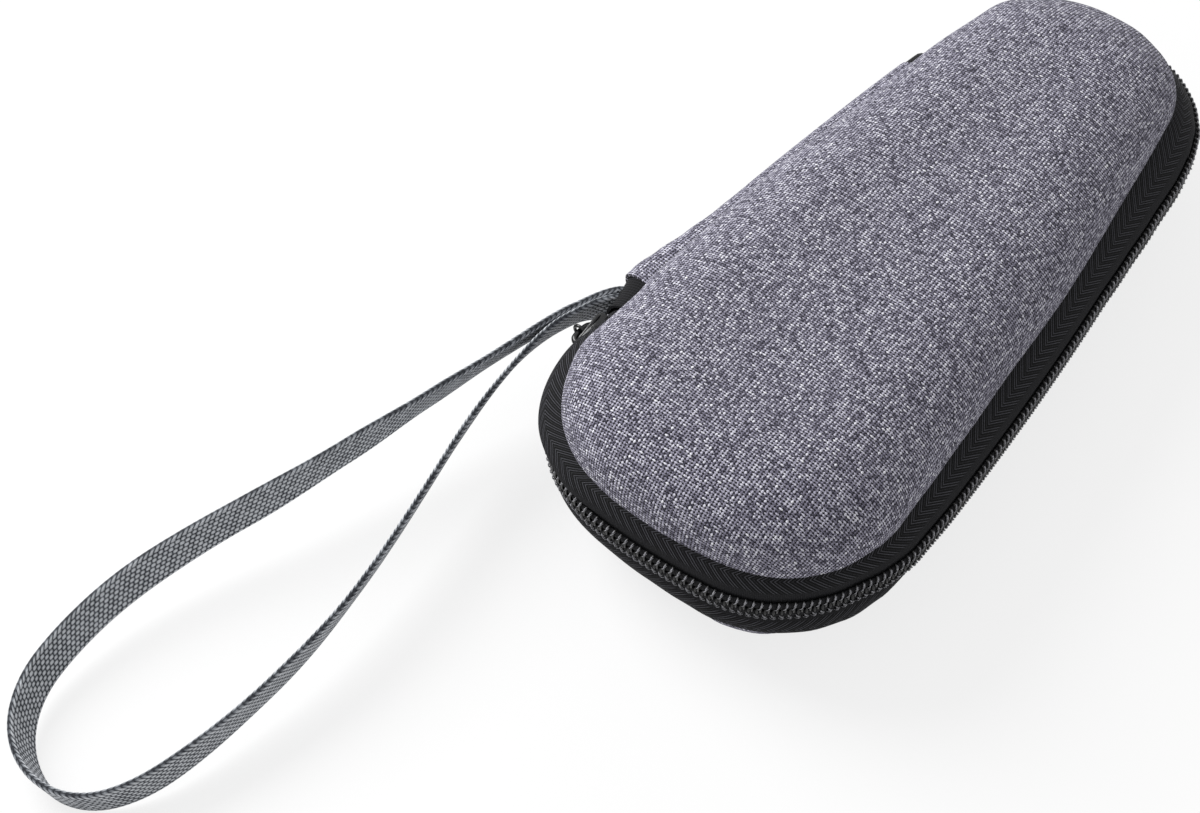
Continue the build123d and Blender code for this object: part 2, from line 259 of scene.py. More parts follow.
# Hinge strip, zip tabs and slider: where they lie along the hinge side, and their lengths
HINGE_NEAR_Y = -43.2
HINGE_FAR_Y = 57.0
STRAP_SLOT = 7.3
TAB_LENGTH = 5.0
NEAR_TAB_Y = HINGE_NEAR_Y - STRAP_SLOT
FAR_TAB_Y = HINGE_FAR_Y + 0.3
SLIDER_Y = -62.6
SLIDER_LENGTH = 10.6
SLIDER_SPREAD = 1.7

# Middle of the strips that bend with the lid, in metres, and how far above and below the split they turn
BEND_MIDDLE = (-0.04883, 0.0069)
BEND_REACH = 7.0
# Cloth across the hinge gap: half its height, and how far inside a mouth it starts
GAP_HALF_HEIGHT = 7.95
GAP_SEAM = 0.9

# Wrist strap: its centre line seen from above, on a plane that slopes down from the seam to the floor
STRAP_ROOT_Y = -48.0
STRAP_SLOPE = 0.113
STRAP_ROUTE = (
    (-51.7, -48.6), (-56.3, -53.1), (-60.1, -59.3), (-63.0, -67.6), (-67.0, -80.5),
    (-72.4, -98.6), (-78.2, -118.5), (-84.8, -139.0), (-92.2, -158.3), (-97.7, -177.8),
    (-98.9, -195.0), (-97.2, -209.0), (-89.7, -220.0), (-77.5, -225.0), (-66.0, -221.8),
    (-58.5, -212.0), (-54.3, -197.5), (-51.6, -179.0), (-50.7, -160.0), (-52.4, -140.0),
    (-55.8, -119.5), (-59.8, -98.8), (-61.6, -79.5), (-60.8, -67.0), (-57.8, -58.6),
    (-54.3, -53.6), (-50.4, -50.2),
)
# How the webbing leans about its line, in degrees, at shares of its length
STRAP_LEAN = (
    (0, 0), (0.03, -20), (0.09, -23), (0.14, -16), (0.2, -3), (0.27, 9), (0.36, 17), (0.46, 18), (0.52, 7),
    (0.58, 3), (0.66, 12), (0.74, 21), (0.86, 22), (0.92, 27), (0.97, 20), (1, 0),
)


def smooth(share):
    """0 to 1 with an even start and end."""
    share = min(max(share, 0.0), 1.0)
    return share * share * (3 - 2 * share)


def along_table(table, place):
    """Value at a place in a table of places and values, eased between them."""
    for (low, first), (high, last) in zip(table, table[1:]):
        if place <= high:
            return first + (last - first) * smooth((place - low) / (high - low))
    return table[-1][1]


def rim(distance):
    """Point on the rim and the direction straight out from it."""
    place = distance % RIM_LENGTH
    side = 1
    if place > HALF_LENGTH:
        place = RIM_LENGTH - place
        side = -1
    angle = -math.pi / 2
    for centre, radius, length in HALF_RIM:
        if place <= length or (centre, radius, length) == HALF_RIM[-1]:
            angle += place / radius
            break
        place -= length
        angle += length / radius
    out = Vector((math.cos(angle), math.sin(angle), 0))
    point = Vector((centre[0], centre[1], 0)) + out * radius
    return Vector((side * point.x, point.y, 0)), Vector((side * out.x, out.y, 0))


def hinge_side(y):
    """Distance along the rim at which its hinge side passes the given y."""
    low, high = HALF_LENGTH, RIM_LENGTH
    for _ in range(40):
        middle = (low + high) / 2
        low, high = (middle, high) if rim(middle)[0].y > y else (low, middle)
    return low


def mouth_inset(side, distance):
    """How far the mouth of the lid (side 1) or base (side -1) lies inside the rim."""
    return along_table(LID_INSET if side > 0 else BASE_INSET, distance % RIM_LENGTH)


def rim_point(distance, inset, height):
    """Point so far inside the rim and above the split."""
    point, out = rim(distance)
    return point - out * inset + Vector((0, 0, SPLIT + height))


def zip_tuck(distance):
    """How far the zip lies inside the rim."""
    return along_table(ZIP_TUCK, distance % RIM_LENGTH)


def tape_brow(distance):
    """How far the lid's tape juts over its coil row."""
    return along_table(TAPE_BROW, distance % RIM_LENGTH)


def coil_tuck(distance):
    """How far the coil rows lie inside the rim."""
    return zip_tuck(distance) + tape_brow(distance) * COIL_DRAWN_IN


def rim_frame(distance):
    """Matrix of the zip line at a place: x along it, y down, z straight out."""
    point, out = rim(distance)
    point = point - out * coil_tuck(distance)
    down = Vector((0, 0, -1))
    along = down.cross(out)
    turn = Matrix((along, down, out)).transposed().to_4x4()
    return Matrix.Translation(point + Vector((0, 0, SPLIT))) @ turn


# Meshes


def grid_piece(name, columns, rows, place, weave, flip=False):
    """Grid whose vertices are put in place one by one, with a UV map in millimetres of cloth."""
    bpy.ops.object.select_all(action="DESELECT")
    bpy.ops.mesh.primitive_grid_add(x_subdivisions=columns, y_subdivisions=rows, size=2)
    piece = bpy.context.object
    piece.name = name
    piece.data.name = name
    mesh = piece.data
    knots = []
    for vertex in mesh.vertices:
        knots.append((round((vertex.co.x + 1) / 2 * columns), round((vertex.co.y + 1) / 2 * rows)))
    for vertex, knot in zip(mesh.vertices, knots):
        vertex.co = place(*knot) * MM
    layer = mesh.uv_layers[0].data
    for loop in mesh.loops:
        layer[loop.index].uv = weave(*knots[loop.vertex_index])
    bpy.ops.object.mode_set(mode="EDIT")
    bpy.ops.mesh.select_all(action="SELECT")
    bpy.ops.mesh.remove_doubles(threshold=0.00002)
    if flip:
        bpy.ops.mesh.flip_normals()
    bpy.ops.object.mode_set(mode="OBJECT")
    return piece


def apply_modifier(piece, kind, **settings):
    """Add a modifier with its settings and apply it."""
    bpy.ops.object.select_all(action="DESELECT")
    bpy.context.view_layer.objects.active = piece
    piece.select_set(True)
    modifier = piece.modifiers.new(kind.title(), kind)
    for key, value in settings.items():
        setattr(modifier, key, value)
    bpy.ops.object.modifier_apply(modifier=modifier.name)


def thicken(piece, thickness, offset=-1.0):
    """Give a sheet its wall, inwards from its face."""
    apply_modifier(piece, "SOLIDIFY", thickness=thickness * MM, offset=offset)


def seat(piece, body, slot, material, *nodes, angle=50):
    """Smooth a finished piece, give it its material and set it on its body."""
    bpy.ops.object.select_all(action="DESELECT")
    bpy.context.view_layer.objects.active = piece
    piece.select_set(True)
    bpy.ops.object.transform_apply(location=True, rotation=True, scale=True)
    bpy.ops.object.shade_smooth_by_angle(angle=math.radians(angle))
    piece.data.materials.clear()
    piece.data.materials.append(material)
    if body:
        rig.ride(piece, body)
    if nodes:
        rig.replaces(piece, *nodes)
    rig.slot(piece, slot)
    return piece


def join(pieces, name):
    """One object from several."""
    bpy.ops.object.select_all(action="DESELECT")
    for piece in pieces:
        piece.select_set(True)
    bpy.context.view_layer.objects.active = pieces[0]
    bpy.ops.object.join()
    pieces[0].name = name
    pieces[0].data.name = name
    return pieces[0]


def dome_profile(shell, inside):
    """Inset and height from a shell's mouth to the edge of its crown, so many mm inside the cloth."""
    turn = shell.wall_turn
    height = shell.depth - shell.mouth_gap - shell.wall_rise
    share = math.sin(turn) * math.cos(turn) - (1 - math.sin(turn)) * (1 - math.cos(turn))
    tight = (height * math.cos(turn) - shell.crown_run * (1 - math.sin(turn))) / share
    wide = (shell.crown_run * math.sin(turn) - height * (1 - math.cos(turn))) / share
    start = Vector((NOMINAL_INSET + tight, shell.mouth_gap + shell.wall_rise))
    middle = start + Vector((math.cos(turn), -math.sin(turn))) * (wide - tight)
    points = [
        Vector((NOMINAL_INSET + inside, shell.mouth_gap)),
        Vector((NOMINAL_INSET + inside, shell.mouth_gap + shell.wall_rise * 0.5)),
    ]
    steps = 7
    for step in range(steps + 1):
        angle = math.pi - turn * step / steps
        points.append(start + Vector((math.cos(angle), math.sin(angle))) * (tight - inside))
    for step in range(1, steps + 2):
        angle = math.pi - turn - (math.pi / 2 - turn) * step / (steps + 1)
        points.append(middle + Vector((math.cos(angle), math.sin(angle))) * (wide - inside))
    return points


def dome(name, side, shell, inside, tuck=0.0, columns=268, fill_rows=9):
    """Shell layer: rings from the mouth to the crown's edge, and then across the crown to its spine."""
    profile = dome_profile(shell, inside)
    if tuck:
        first = profile[0]
        roll = (Vector((tuck, 0.05)), Vector((tuck * 0.4, 0.1)), Vector((tuck * 0.1, 0.3)))
        profile = [first + step for step in roll] + profile[1:]
    runs = [0.0]
    for before, after in zip(profile, profile[1:]):
        runs.append(runs[-1] + (after - before).length)
    last = len(profile) - 1

    def ring_point(distance, row):
        shift = (mouth_inset(side, distance) - NOMINAL_INSET) * (1 - 0.6 * runs[row] / runs[last])
        return rim_point(distance, min(profile[row].x + shift, TIGHTEST), side * profile[row].y)

    def place(i, j):
        distance = RIM_LENGTH * i / columns
        if j <= last:
            return ring_point(distance, j)
        edge = ring_point(distance, last)
        spine = Vector((0, min(max(edge.y, -58), 58), edge.z))
        share = 1 - (j - last) / fill_rows
        return spine + (edge - spine) * share

    def weave(i, j):
        distance = RIM_LENGTH * i / columns
        point = place(i, max(j, last))
        if j < last:
            point = point + rim(distance)[1] * (runs[last] - runs[j])
        return point.x, point.y

    return grid_piece(name, columns, last + fill_rows, place, weave, flip=side < 0)


# Materials


class Value:
    """A shader value. Writing a sum with it adds the nodes that work the sum out."""

    def __init__(self, nodes, socket):
        self.nodes = nodes
        self.socket = socket

    def __add__(self, other):
        return self.nodes.maths("ADD", self, other)

    def __sub__(self, other):
        return self.nodes.maths("SUBTRACT", self, other)

    def __rsub__(self, other):
        return self.nodes.maths("SUBTRACT", other, self)

    def __mul__(self, other):
        return self.nodes.maths("MULTIPLY", self, other)

    def __truediv__(self, other):
        return self.nodes.maths("DIVIDE", self, other)

    def __mod__(self, other):
        return self.nodes.maths("FLOORED_MODULO", self, other)

    def __pow__(self, other):
        return self.nodes.maths("POWER", self, other)

    __radd__ = __add__
    __rmul__ = __mul__


class Nodes:
    """The nodes of a material or of the world, and the ways to add more of them."""

    def __init__(self, tree):
        self.tree = tree

    def node(self, kind, settings=None, **inputs):
        """Any node: its settings first, then the values or links of its sockets."""
        made = self.tree.nodes.new(kind)
        for key, value in (settings or {}).items():
            setattr(made, key, value)
        for key, value in inputs.items():
            numbered = key[0] == "i" and key[1:].isdigit()
            self.feed(made.inputs[int(key[1:]) if numbered else key.replace("_", " ")], value)
        return made

    def feed(self, socket, value):
        """Link a value into a socket, or set the socket."""
        if isinstance(value, Value):
            self.tree.links.new(value.socket, socket)
        else:
            socket.default_value = value

    def maths(self, operation, first, second=0.0):
        made = self.node("ShaderNodeMath", {"operation": operation}, i0=first, i1=second)
        return Value(self, made.outputs[0])

    def sine(self, value):
        return self.maths("SINE", value)

    def wave(self, value, pitch):
        """Even wave between 0 and 1, once each pitch."""
        return self.sine(value * (2 * math.pi / pitch)) * 0.5 + 0.5

    def floor(self, value):
        return self.maths("FLOOR", value)

    def larger(self, first, second):
        return self.maths("MAXIMUM", first, second)

    def rise(self, value, low, high):
        """0 below low, 1 above high, smooth between them."""
        settings = {"interpolation_type": "SMOOTHSTEP"}
        made = self.node("ShaderNodeMapRange", settings, Value=value, From_Min=low, From_Max=high)
        return Value(self, made.outputs[0])

    def cloth_uv(self):
        """The piece's own UV map, as two values in millimetres."""
        uv = self.node("ShaderNodeUVMap", {"uv_map": "UVMap"})
        split = self.node("ShaderNodeSeparateXYZ", Vector=Value(self, uv.outputs[0]))
        return Value(self, split.outputs[0]), Value(self, split.outputs[1])

    def object_point(self):
        """Object coordinates in millimetres, as a vector."""
        point = Value(self, self.node("ShaderNodeTexCoord").outputs["Object"])
        scaled = self.node("ShaderNodeVectorMath", {"operation": "SCALE"}, i0=point, Scale=1 / MM)
        return Value(self, scaled.outputs[0])

    def vector(self, x, y, z=0.0):
        made = self.node("ShaderNodeCombineXYZ", X=x, Y=y, Z=z)
        return Value(self, made.outputs[0])

    def noise(self, vector, scale, detail=2.0, roughness=0.5):
        made = self.node("ShaderNodeTexNoise", Vector=vector, Scale=scale, Detail=detail, Roughness=roughness)
        return Value(self, made.outputs[0])

    def random(self, vector):
        made = self.node("ShaderNodeTexWhiteNoise", Vector=vector)
        return Value(self, made.outputs[0])

    def mix(self, share, first, second):
        """Mix of two colours or of two shader values that hold colours."""
        made = self.node("ShaderNodeMix", {"data_type": "RGBA"}, i0=share, i6=first, i7=second)
        return Value(self, made.outputs[2])

    def ramp(self, value, *stops):
        """Colour ramp through pairs of place and colour."""
        made = self.node("ShaderNodeValToRGB", Fac=value)
        band = made.color_ramp
        while len(band.elements) < len(stops):
            band.elements.new(0.5)
        for element, (place, colour) in zip(band.elements, stops):
            element.position = place
            element.color = colour
        return Value(self, made.outputs[0])

    def plain_rays(self):
        """1 for what the camera or a shiny or clear surface sees, 0 for what only lights the case."""
        rays = self.node("ShaderNodeLightPath").outputs
        camera, glossy, clear = (
            Value(self, rays[name]) for name in ("Is Camera Ray", "Is Glossy Ray", "Is Transmission Ray")
        )
        return self.larger(self.larger(camera, glossy), clear)


class Finish(Nodes):
    """A material: a principled shader, and the patterns that feed it."""

    def __init__(self, name, **constants):
        self.material = bpy.data.materials.new(name)
        self.material.use_nodes = True
        super().__init__(self.material.node_tree)
        self.shader = self.tree.nodes["Principled BSDF"]
        sockets = {socket.name.lower().replace(" ", "_"): socket for socket in self.shader.inputs}
        for key, value in constants.items():
            sockets[key].default_value = value

    def surface(self, colour=None, roughness=None, height=None, depth=0.1):
        """Feed the shader; height is in bumps of so many millimetres depth."""
        if colour is not None:
            self.feed(self.shader.inputs["Base Color"], colour)
        if roughness is not None:
            self.feed(self.shader.inputs["Roughness"], roughness)
        if height is not None:
            bump = self.node("ShaderNodeBump", Height=height, Strength=1.0, Distance=depth * MM)
            self.feed(self.shader.inputs["Normal"], Value(self, bump.outputs[0]))
        return self.material


def tint(red, green, blue):
    """Linear colour from an sRGB one given in 0 to 255."""
    parts = []
    for part in (red, green, blue):
        part /= 255
        parts.append(part / 12.92 if part <= 0.04045 else ((part + 0.055) / 1.055) ** 2.4)
    return (*parts, 1.0)


def heather_weave():
    """Plain weave of melange threads: light and dark stretches along each thread, with painted shade in the gaps
    between them.
    """
    cloth = bpy.context.scene.case_cloth
    finish = Finish(
        "heather_weave", roughness=0.92, specular_ior_level=0.25, sheen_weight=0.08, sheen_roughness=0.5
    )
    u, v = finish.cloth_uv()
    point = finish.vector(u, v)
    wander = finish.noise(point, 0.09, 2.0) * 0.7
    drift = finish.noise(finish.vector(v, u, 7.0), 0.09, 2.0) * 0.7
    across = u / cloth.warp_pitch + wander
    along = v / cloth.weft_pitch + drift
    warp = finish.floor(across)
    weft = finish.floor(along)
    half_turn = math.pi
    warp_lift = finish.sine((along + warp) * half_turn)
    weft_lift = finish.sine((across + weft) * half_turn) * -1.0
    warp_round = finish.sine((across - warp) * half_turn)
    weft_round = finish.sine((along - weft) * half_turn)
    warp_height = warp_round * 1.15 + warp_lift * 0.5
    weft_height = weft_round * 1.15 + weft_lift * 0.5
    warp_on_top = finish.rise(warp_height - weft_height, -0.12, 0.12)
    height = finish.larger(warp_height, weft_height)
    warp_tone = finish.noise(finish.vector(warp * 3.7, v * cloth.streak), 1.0, 3.0, 0.62)
    weft_tone = finish.noise(finish.vector(weft * 3.7, u * cloth.streak, 31.0), 1.0, 3.0, 0.62)
    warp_float = finish.random(finish.vector(warp, finish.floor((along + warp + 0.5) * 0.5), 3.0))
    weft_float = finish.random(finish.vector(finish.floor((across + weft - 0.5) * 0.5), weft, 11.0))
    warp_light = warp_tone * 0.8 + 0.1 + (warp_float - 0.5) * cloth.spread
    weft_light = weft_tone * 0.8 + 0.1 + (weft_float - 0.5) * cloth.spread
    tone = warp_light * warp_on_top + weft_light * (1 - warp_on_top)
    fibre = finish.noise(finish.vector(u, v, 5.0), 2.2, 2.0, 0.7)
    tone = tone + (fibre - 0.5) * 0.75
    thread = finish.ramp(
        tone,
        (0.30, cloth.dark_thread),
        (0.48, cloth.middle_thread),
        (0.60, cloth.light_thread),
        (0.74, cloth.slub_thread),
    )
    # Painted shade: where both threads dip low, the colour turns to the dark gap shade.
    depth = finish.rise(height, 0.78, 1.22)
    colour = finish.mix(depth, cloth.gap_shade, thread)
    return finish.surface(colour, height=height + tone * 0.8, depth=0.2)


def zip_tape_weave():
    """Woven tape: plain beside the coil, herringbone ribs beside the cloth. Its colour holds painted highlight on the
    rib crowns, painted shade between the ribs, and a painted lighter tone on the plain band.
    """
    case_zip = bpy.context.scene.case_zip
    finish = Finish("zip_tape_weave", roughness=0.75, specular_ior_level=0.12)
    u, v = finish.cloth_uv()
    from_ridge = finish.maths("ABSOLUTE", v - case_zip.ridge_line)
    slant = (u - from_ridge * 1.6) / case_zip.rib_pitch
    rib = finish.wave(slant, 1)
    group = finish.wave(slant, 3)
    bold = finish.rise(v, case_zip.plain_width, case_zip.plain_width + 0.7)
    plain = finish.wave(u, 0.42)
    grain = finish.noise(finish.vector(u, v), 4.0, 2.0)
    # The plain band's tone is raised (0.35) as painted light, as if lit on its ridge beside the coil.
    height = rib * (group * 0.45 + 0.55) * bold + (plain * 0.2 + 0.35) * (1 - bold) + grain * 0.15
    # Tone follows the ribs' height: painted highlight on the rib crowns, painted shade between them.
    tone = height * 0.85 + (grain - 0.5) * 0.5
    colour = finish.ramp(
        tone, (0.15, case_zip.tape_dark), (0.5, case_zip.tape_middle), (1.0, case_zip.tape_light)
    )
    return finish.surface(colour, height=height, depth=0.2)


def coil_gloss():
    """Nylon coil, polished on its crowns."""
    case_zip = bpy.context.scene.case_zip
    finish = Finish("coil_gloss", base_color=case_zip.coil_colour, roughness=0.3, specular_ior_level=0.4)
    point = finish.object_point()
    cloud = finish.noise(point, 0.6, 2.0)
    return finish.surface(roughness=cloud * 0.25 + 0.18, height=finish.noise(point, 3.0), depth=0.03)


def stitch_thread():
    """Twisted sewing thread."""
    finish = Finish("stitch_thread", roughness=0.6)
    point = finish.object_point()
    cloud = finish.noise(point, 4.0, 2.0)
    colour = finish.ramp(cloud, (0.35, tint(90, 90, 94)), (0.7, tint(178, 178, 184)))
    return finish.surface(colour, height=cloud, depth=0.05)


def slider_lacquer():
    """Glossy black lacquer on cast metal, worn a little."""
    finish = Finish("slider_lacquer", roughness=0.4, specular_ior_level=0.4)
    point = finish.object_point()
    cloud = finish.noise(point, 0.9, 3.0)
    scuff = finish.noise(point, 5.0, 4.0, 0.7)
    colour = finish.ramp(cloud, (0.3, tint(16, 16, 17)), (0.75, tint(34, 34, 36)))
    rough = finish.rise(scuff, 0.55, 0.8) * 0.25 + 0.16
    return finish.surface(colour, rough, height=cloud, depth=0.04)


def strap_webbing():
    """Braided webbing: columns of slanted stitches, the webbing's own pattern, with painted highlight on their crowns
    and painted shade in the gaps between them.
    """
    strap = bpy.context.scene.case_strap
    finish = Finish("strap_webbing", roughness=0.7, specular_ior_level=0.25)
    u, v = finish.cloth_uv()
    column_width = strap.width / strap.columns
    column = finish.floor(v / column_width)
    inside = v / column_width - column
    parity = column % 2.0
    selvedge = 1 - finish.rise(v, 0.2, 1.0) * (1 - finish.rise(v, strap.width - 1.0, strap.width - 0.2))
    slant = (inside - 0.5) * (selvedge * 1.3 + 0.15)
    step = u / strap.stitch_pitch + parity * 0.5 + slant
    row = finish.floor(step)
    dash = finish.sine((step - row) * math.pi)
    swell = finish.sine(inside * math.pi)
    height = dash ** 0.6 * swell ** 0.5
    kind = finish.random(finish.vector(column, row))
    fibre = finish.noise(finish.vector(u * 0.6, v * 5.0), 1.6, 2.0)
    # The stitches' height sets their colour: painted highlight on the crowns, painted shade in the gaps.
    tone = height * 0.85 + (kind - 0.5) * 0.22 + (fibre - 0.5) * 0.3
    colour = finish.ramp(
        tone, (0.16, strap.gap_shade), (0.42, strap.middle_colour), (0.74, strap.stitch_highlight)
    )
    return finish.surface(colour, height=height, depth=0.3)


def knit_lining():
    """Fine warp knit: narrow wales and a soft mottle."""
    finish = Finish("knit_lining", roughness=0.85, sheen_weight=0.15)
    u, v = finish.cloth_uv()
    wale = finish.wave(u, 0.9)
    course = finish.wave(v + wale * 0.25, 0.7)
    cloud = finish.noise(finish.vector(u, v), 0.35, 3.0)
    height = wale * 0.7 + course * 0.3
    colour = finish.ramp(height * 0.7 + cloud * 0.4, (0.2, tint(22, 22, 24)), (0.9, tint(58, 58, 62)))
    return finish.surface(colour, height=height, depth=0.14)


def ribbed_tape(name, pitch, dark, light):
    """Narrow woven tape with ribs across it."""
    finish = Finish(name, roughness=0.8, specular_ior_level=0.12)
    u, v = finish.cloth_uv()
    rib = finish.wave(u, pitch)
    grain = finish.noise(finish.vector(u, v), 3.0, 2.0)
    warp = finish.wave(v, 0.8)
    height = rib * 0.75 + warp * 0.25
    colour = finish.ramp(height * 0.7 + grain * 0.4, (0.2, dark), (0.9, light))
    return finish.surface(colour, height=height, depth=0.16)


def moulded_foam():
    """Closed-cell foam with fine pores."""
    finish = Finish("moulded_foam", roughness=0.9)
    point = finish.object_point()
    cells = finish.noise(point, 2.2, 3.0, 0.65)
    colour = finish.ramp(cells, (0.35, tint(26, 26, 28)), (0.7, tint(62, 62, 66)))
    return finish.surface(colour, height=cells, depth=0.12)


def net_cord():
    """Knitted net thread."""
    finish = Finish("net_cord", roughness=0.7, sheen_weight=0.1)
    point = finish.object_point()
    cells = finish.noise(point, 2.8, 2.0)
    colour = finish.ramp(cells, (0.3, tint(20, 20, 22)), (0.75, tint(66, 66, 70)))
    return finish.surface(colour, height=cells, depth=0.1)


FINISHES = {}


def finish_for(key):
    """Each finish is made once and shared by the pieces that have it."""
    makers = {
        "cloth": heather_weave,
        "tape": zip_tape_weave,
        "coil": coil_gloss,
        "thread": stitch_thread,
        "lacquer": slider_lacquer,
        "webbing": strap_webbing,
        "lining": knit_lining,
        "binding": lambda: ribbed_tape("binding_ribs", 0.8, tint(8, 8, 9), tint(36, 36, 39)),
        "elastic": lambda: ribbed_tape("elastic_ribs", 1.3, tint(18, 18, 20), tint(62, 62, 66)),
        "foam": moulded_foam,
        "net": net_cord,
    }
    if key not in FINISHES:
        FINISHES[key] = makers[key]()
    return FINISHES[key]


# Settings


def length_setting(name, description, default):
    """Length in millimetres, the unit that Blender keeps for lenses."""
    return bpy.props.FloatProperty(
        name=name, description=description, default=default, min=0.0, unit="CAMERA"
    )


def share_setting(name, description, default):
    """Share from 0 to 1."""
    return bpy.props.FloatProperty(
        name=name, description=description, default=default, min=0.0, max=1.0, subtype="FACTOR"
    )


def angle_setting(name, description, degrees):
    """Angle, with its default in degrees."""
    return bpy.props.FloatProperty(
        name=name, description=description, default=math.radians(degrees), subtype="ANGLE"
    )


def colour_setting(name, description, default):
    """Colour with its alpha, linear."""
    return bpy.props.FloatVectorProperty(
        name=name, description=description, default=default, size=4, subtype="COLOR", min=0.0, max=1.0
    )


class CaseShellSettings(bpy.types.PropertyGroup):
    """Sizes of both shells, in millimetres."""

    depth: length_setting("Depth", "Depth of one shell from the split to its crown", 25.0)
    mouth_gap: length_setting("Mouth gap", "Height of a shell's mouth above the split", 8.0)
    wall_rise: length_setting("Wall rise", "Upright part of the wall above the mouth", 1.7)
    crown_run: length_setting("Crown run", "Width of the curve from the wall to the flat crown", 23.0)
    wall_turn: angle_setting("Wall turn", "Angle at which the wall's tight curve ends", 60)
    cloth: length_setting("Cloth", "Thickness of the outer cloth", 0.8)
    foam: length_setting("Foam", "Thickness of the moulded foam", 3.6)
    lining: length_setting("Lining", "Thickness of the lining", 0.6)


class CaseClothSettings(bpy.types.PropertyGroup):
    """Weave and colours of the outer cloth."""

    warp_pitch: length_setting("Warp pitch", "Distance between the lengthwise threads, in millimetres", 0.92)
    weft_pitch: length_setting("Weft pitch", "Distance between the crosswise threads, in millimetres", 0.68)
    streak: bpy.props.FloatProperty(
        name="Streak", description="Changes of a thread's tone along it, per millimetre", default=0.42, min=0.0
    )
    spread: share_setting("Spread", "How much the tone varies from one float of a thread to the next", 0.2)
    # Painted shade that darkens the gaps between the threads.
    gap_shade: colour_setting("Gaps", "Shade between the threads", tint(10, 9, 16))
    dark_thread: colour_setting("Dark thread", "Darkest stretch of a thread", tint(54, 52, 67))
    middle_thread: colour_setting("Middle thread", "Usual colour of a thread", tint(136, 133, 151))
    light_thread: colour_setting("Light thread", "Light stretch of a thread", tint(196, 194, 210))
    slub_thread: colour_setting("Slub", "Lightest flecks", tint(244, 244, 250))


class CaseZipSettings(bpy.types.PropertyGroup):
    """Sizes and colours of the zip."""

    pitch: length_setting("Pitch", "Distance between the teeth of one row, in millimetres", 1.856)
    coil_height: length_setting("Coil height", "Height of one coil row", 3.0)
    tape: length_setting("Tape", "Thickness of the tape", 0.6)
    plain_width: length_setting("Plain width", "Width of the tape up to the end of its smooth band", 4.4)
    ridge_line: length_setting("Ridge line", "Where the herringbone ribs turn, across the tape", 7.4)
    rib_pitch: length_setting("Rib pitch", "Distance between herringbone ribs", 1.05)
    # Painted shade between the ribs of the tape.
    tape_dark: colour_setting("Tape, dark", "Between the ribs of the tape", tint(5, 5, 6))
    tape_middle: colour_setting("Tape, middle", "Usual shade of the tape", tint(33, 33, 35))
    # Painted highlight on the crowns of the tape's ribs.
    tape_light: colour_setting("Tape, light", "Crowns of the tape's ribs", tint(86, 86, 92))
    coil_colour: colour_setting("Coil", "Nylon of the coil", tint(12, 12, 13))


class CaseStrapSettings(bpy.types.PropertyGroup):
    """Sizes and colours of the wrist strap."""

    width: length_setting("Width", "Width of the webbing, in millimetres", 10.0)
    thickness: length_setting("Thickness", "Thickness of the webbing", 1.5)
    columns: bpy.props.IntProperty(
        name="Columns", description="Columns of stitches across the webbing", default=9, min=1
    )
    stitch_pitch: length_setting("Stitch pitch", "Length of one stitch", 1.5)
    # Painted shade between the stitches.
    gap_shade: colour_setting("Gaps", "Shade between the stitches", tint(34, 37, 43))
    middle_colour: colour_setting("Middle", "Usual colour of the webbing", tint(120, 124, 130))
    # Painted highlight on the crowns of the stitches.
    stitch_highlight: colour_setting("Light", "Crowns of the stitches", tint(202, 205, 210))


class CaseStageSettings(bpy.types.PropertyGroup):
    """Camera, floor and light."""

    azimuth: angle_setting("Azimuth", "Camera's turn from straight in front", 38.96)
    elevation: angle_setting("Elevation", "Camera's angle above the floor", 51.55)
    roll: angle_setting("Roll", "Camera's turn about its own line of sight", -1.33)
    distance: bpy.props.FloatProperty(
        name="Distance", description="Camera's distance from its target", default=0.56664, unit="LENGTH"
    )
    target: bpy.props.FloatVectorProperty(
        name="Target", description="Point that the camera is aimed at", default=(-0.03718, -0.06122, 0.025),
        subtype="TRANSLATION",
    )
    focal: length_setting("Focal length", "Focal length of the lens", 70.134)
    shift: bpy.props.FloatVectorProperty(
        name="Shift", description="Sideways and upward shift of the lens", default=(-0.0287, -0.03988), size=2
    )
    floor_colour: colour_setting("Floor", "Colour of the floor", (0.9, 0.9, 0.9, 1.0))
    floor_mottle: colour_setting("Floor mottle", "Its lighter patches", (0.92, 0.92, 0.92, 1.0))
    paper_white: share_setting("Paper white", "Share of plain white in what is seen of the floor", 0.78)
    sky: share_setting("Sky", "Strength of the even light", 0.55)
    lamp: bpy.props.FloatProperty(
        name="Lamp", description="Power of the soft lamp, in watts", default=12.5, min=0.0, unit="POWER"
    )
    lamp_size: bpy.props.FloatProperty(
        name="Lamp size", description="Width of the soft lamp", default=0.7, min=0.0, unit="LENGTH"
    )
    lamp_place: bpy.props.FloatVectorProperty(
        name="Lamp place", description="Where the soft lamp hangs", default=(-0.85, -0.05, 0.7),
        subtype="TRANSLATION",
    )


# Pieces

# Section of the binding: how far inside the mouth, and how far above the split
BINDING_SECTION = (
    (1.6, 7.0), (3.2, 6.75), (4.8, 6.7), (5.6, 6.95), (5.95, 7.7), (5.9, 9.0), (5.7, 10.6), (5.3, 11.0),
)
# Filler cord inside the coil's loops: its place behind the coil, and half its depth and height
CORE_INSET = 0.72
CORE_HEIGHT = 1.35
CORE_HALF_DEPTH = 0.5
CORE_HALF_HEIGHT = 1.0
CORE_SIDES = 10
# Slider plates: their widths at the tail and the nose
PLATE_WIDTHS = (8.6, 11.8)
BACK_WIDTHS = (5.0, 5.0)
GROOVE_WIDTHS = (4.6, 6.6)
LIP_SETBACK = 0.8

# Declared areas in square metres, each set close to what its own finished mesh measures
CLOTH_AREA = 0.0195
LINING_AREA = 0.0153
NET_AREA = 0.005


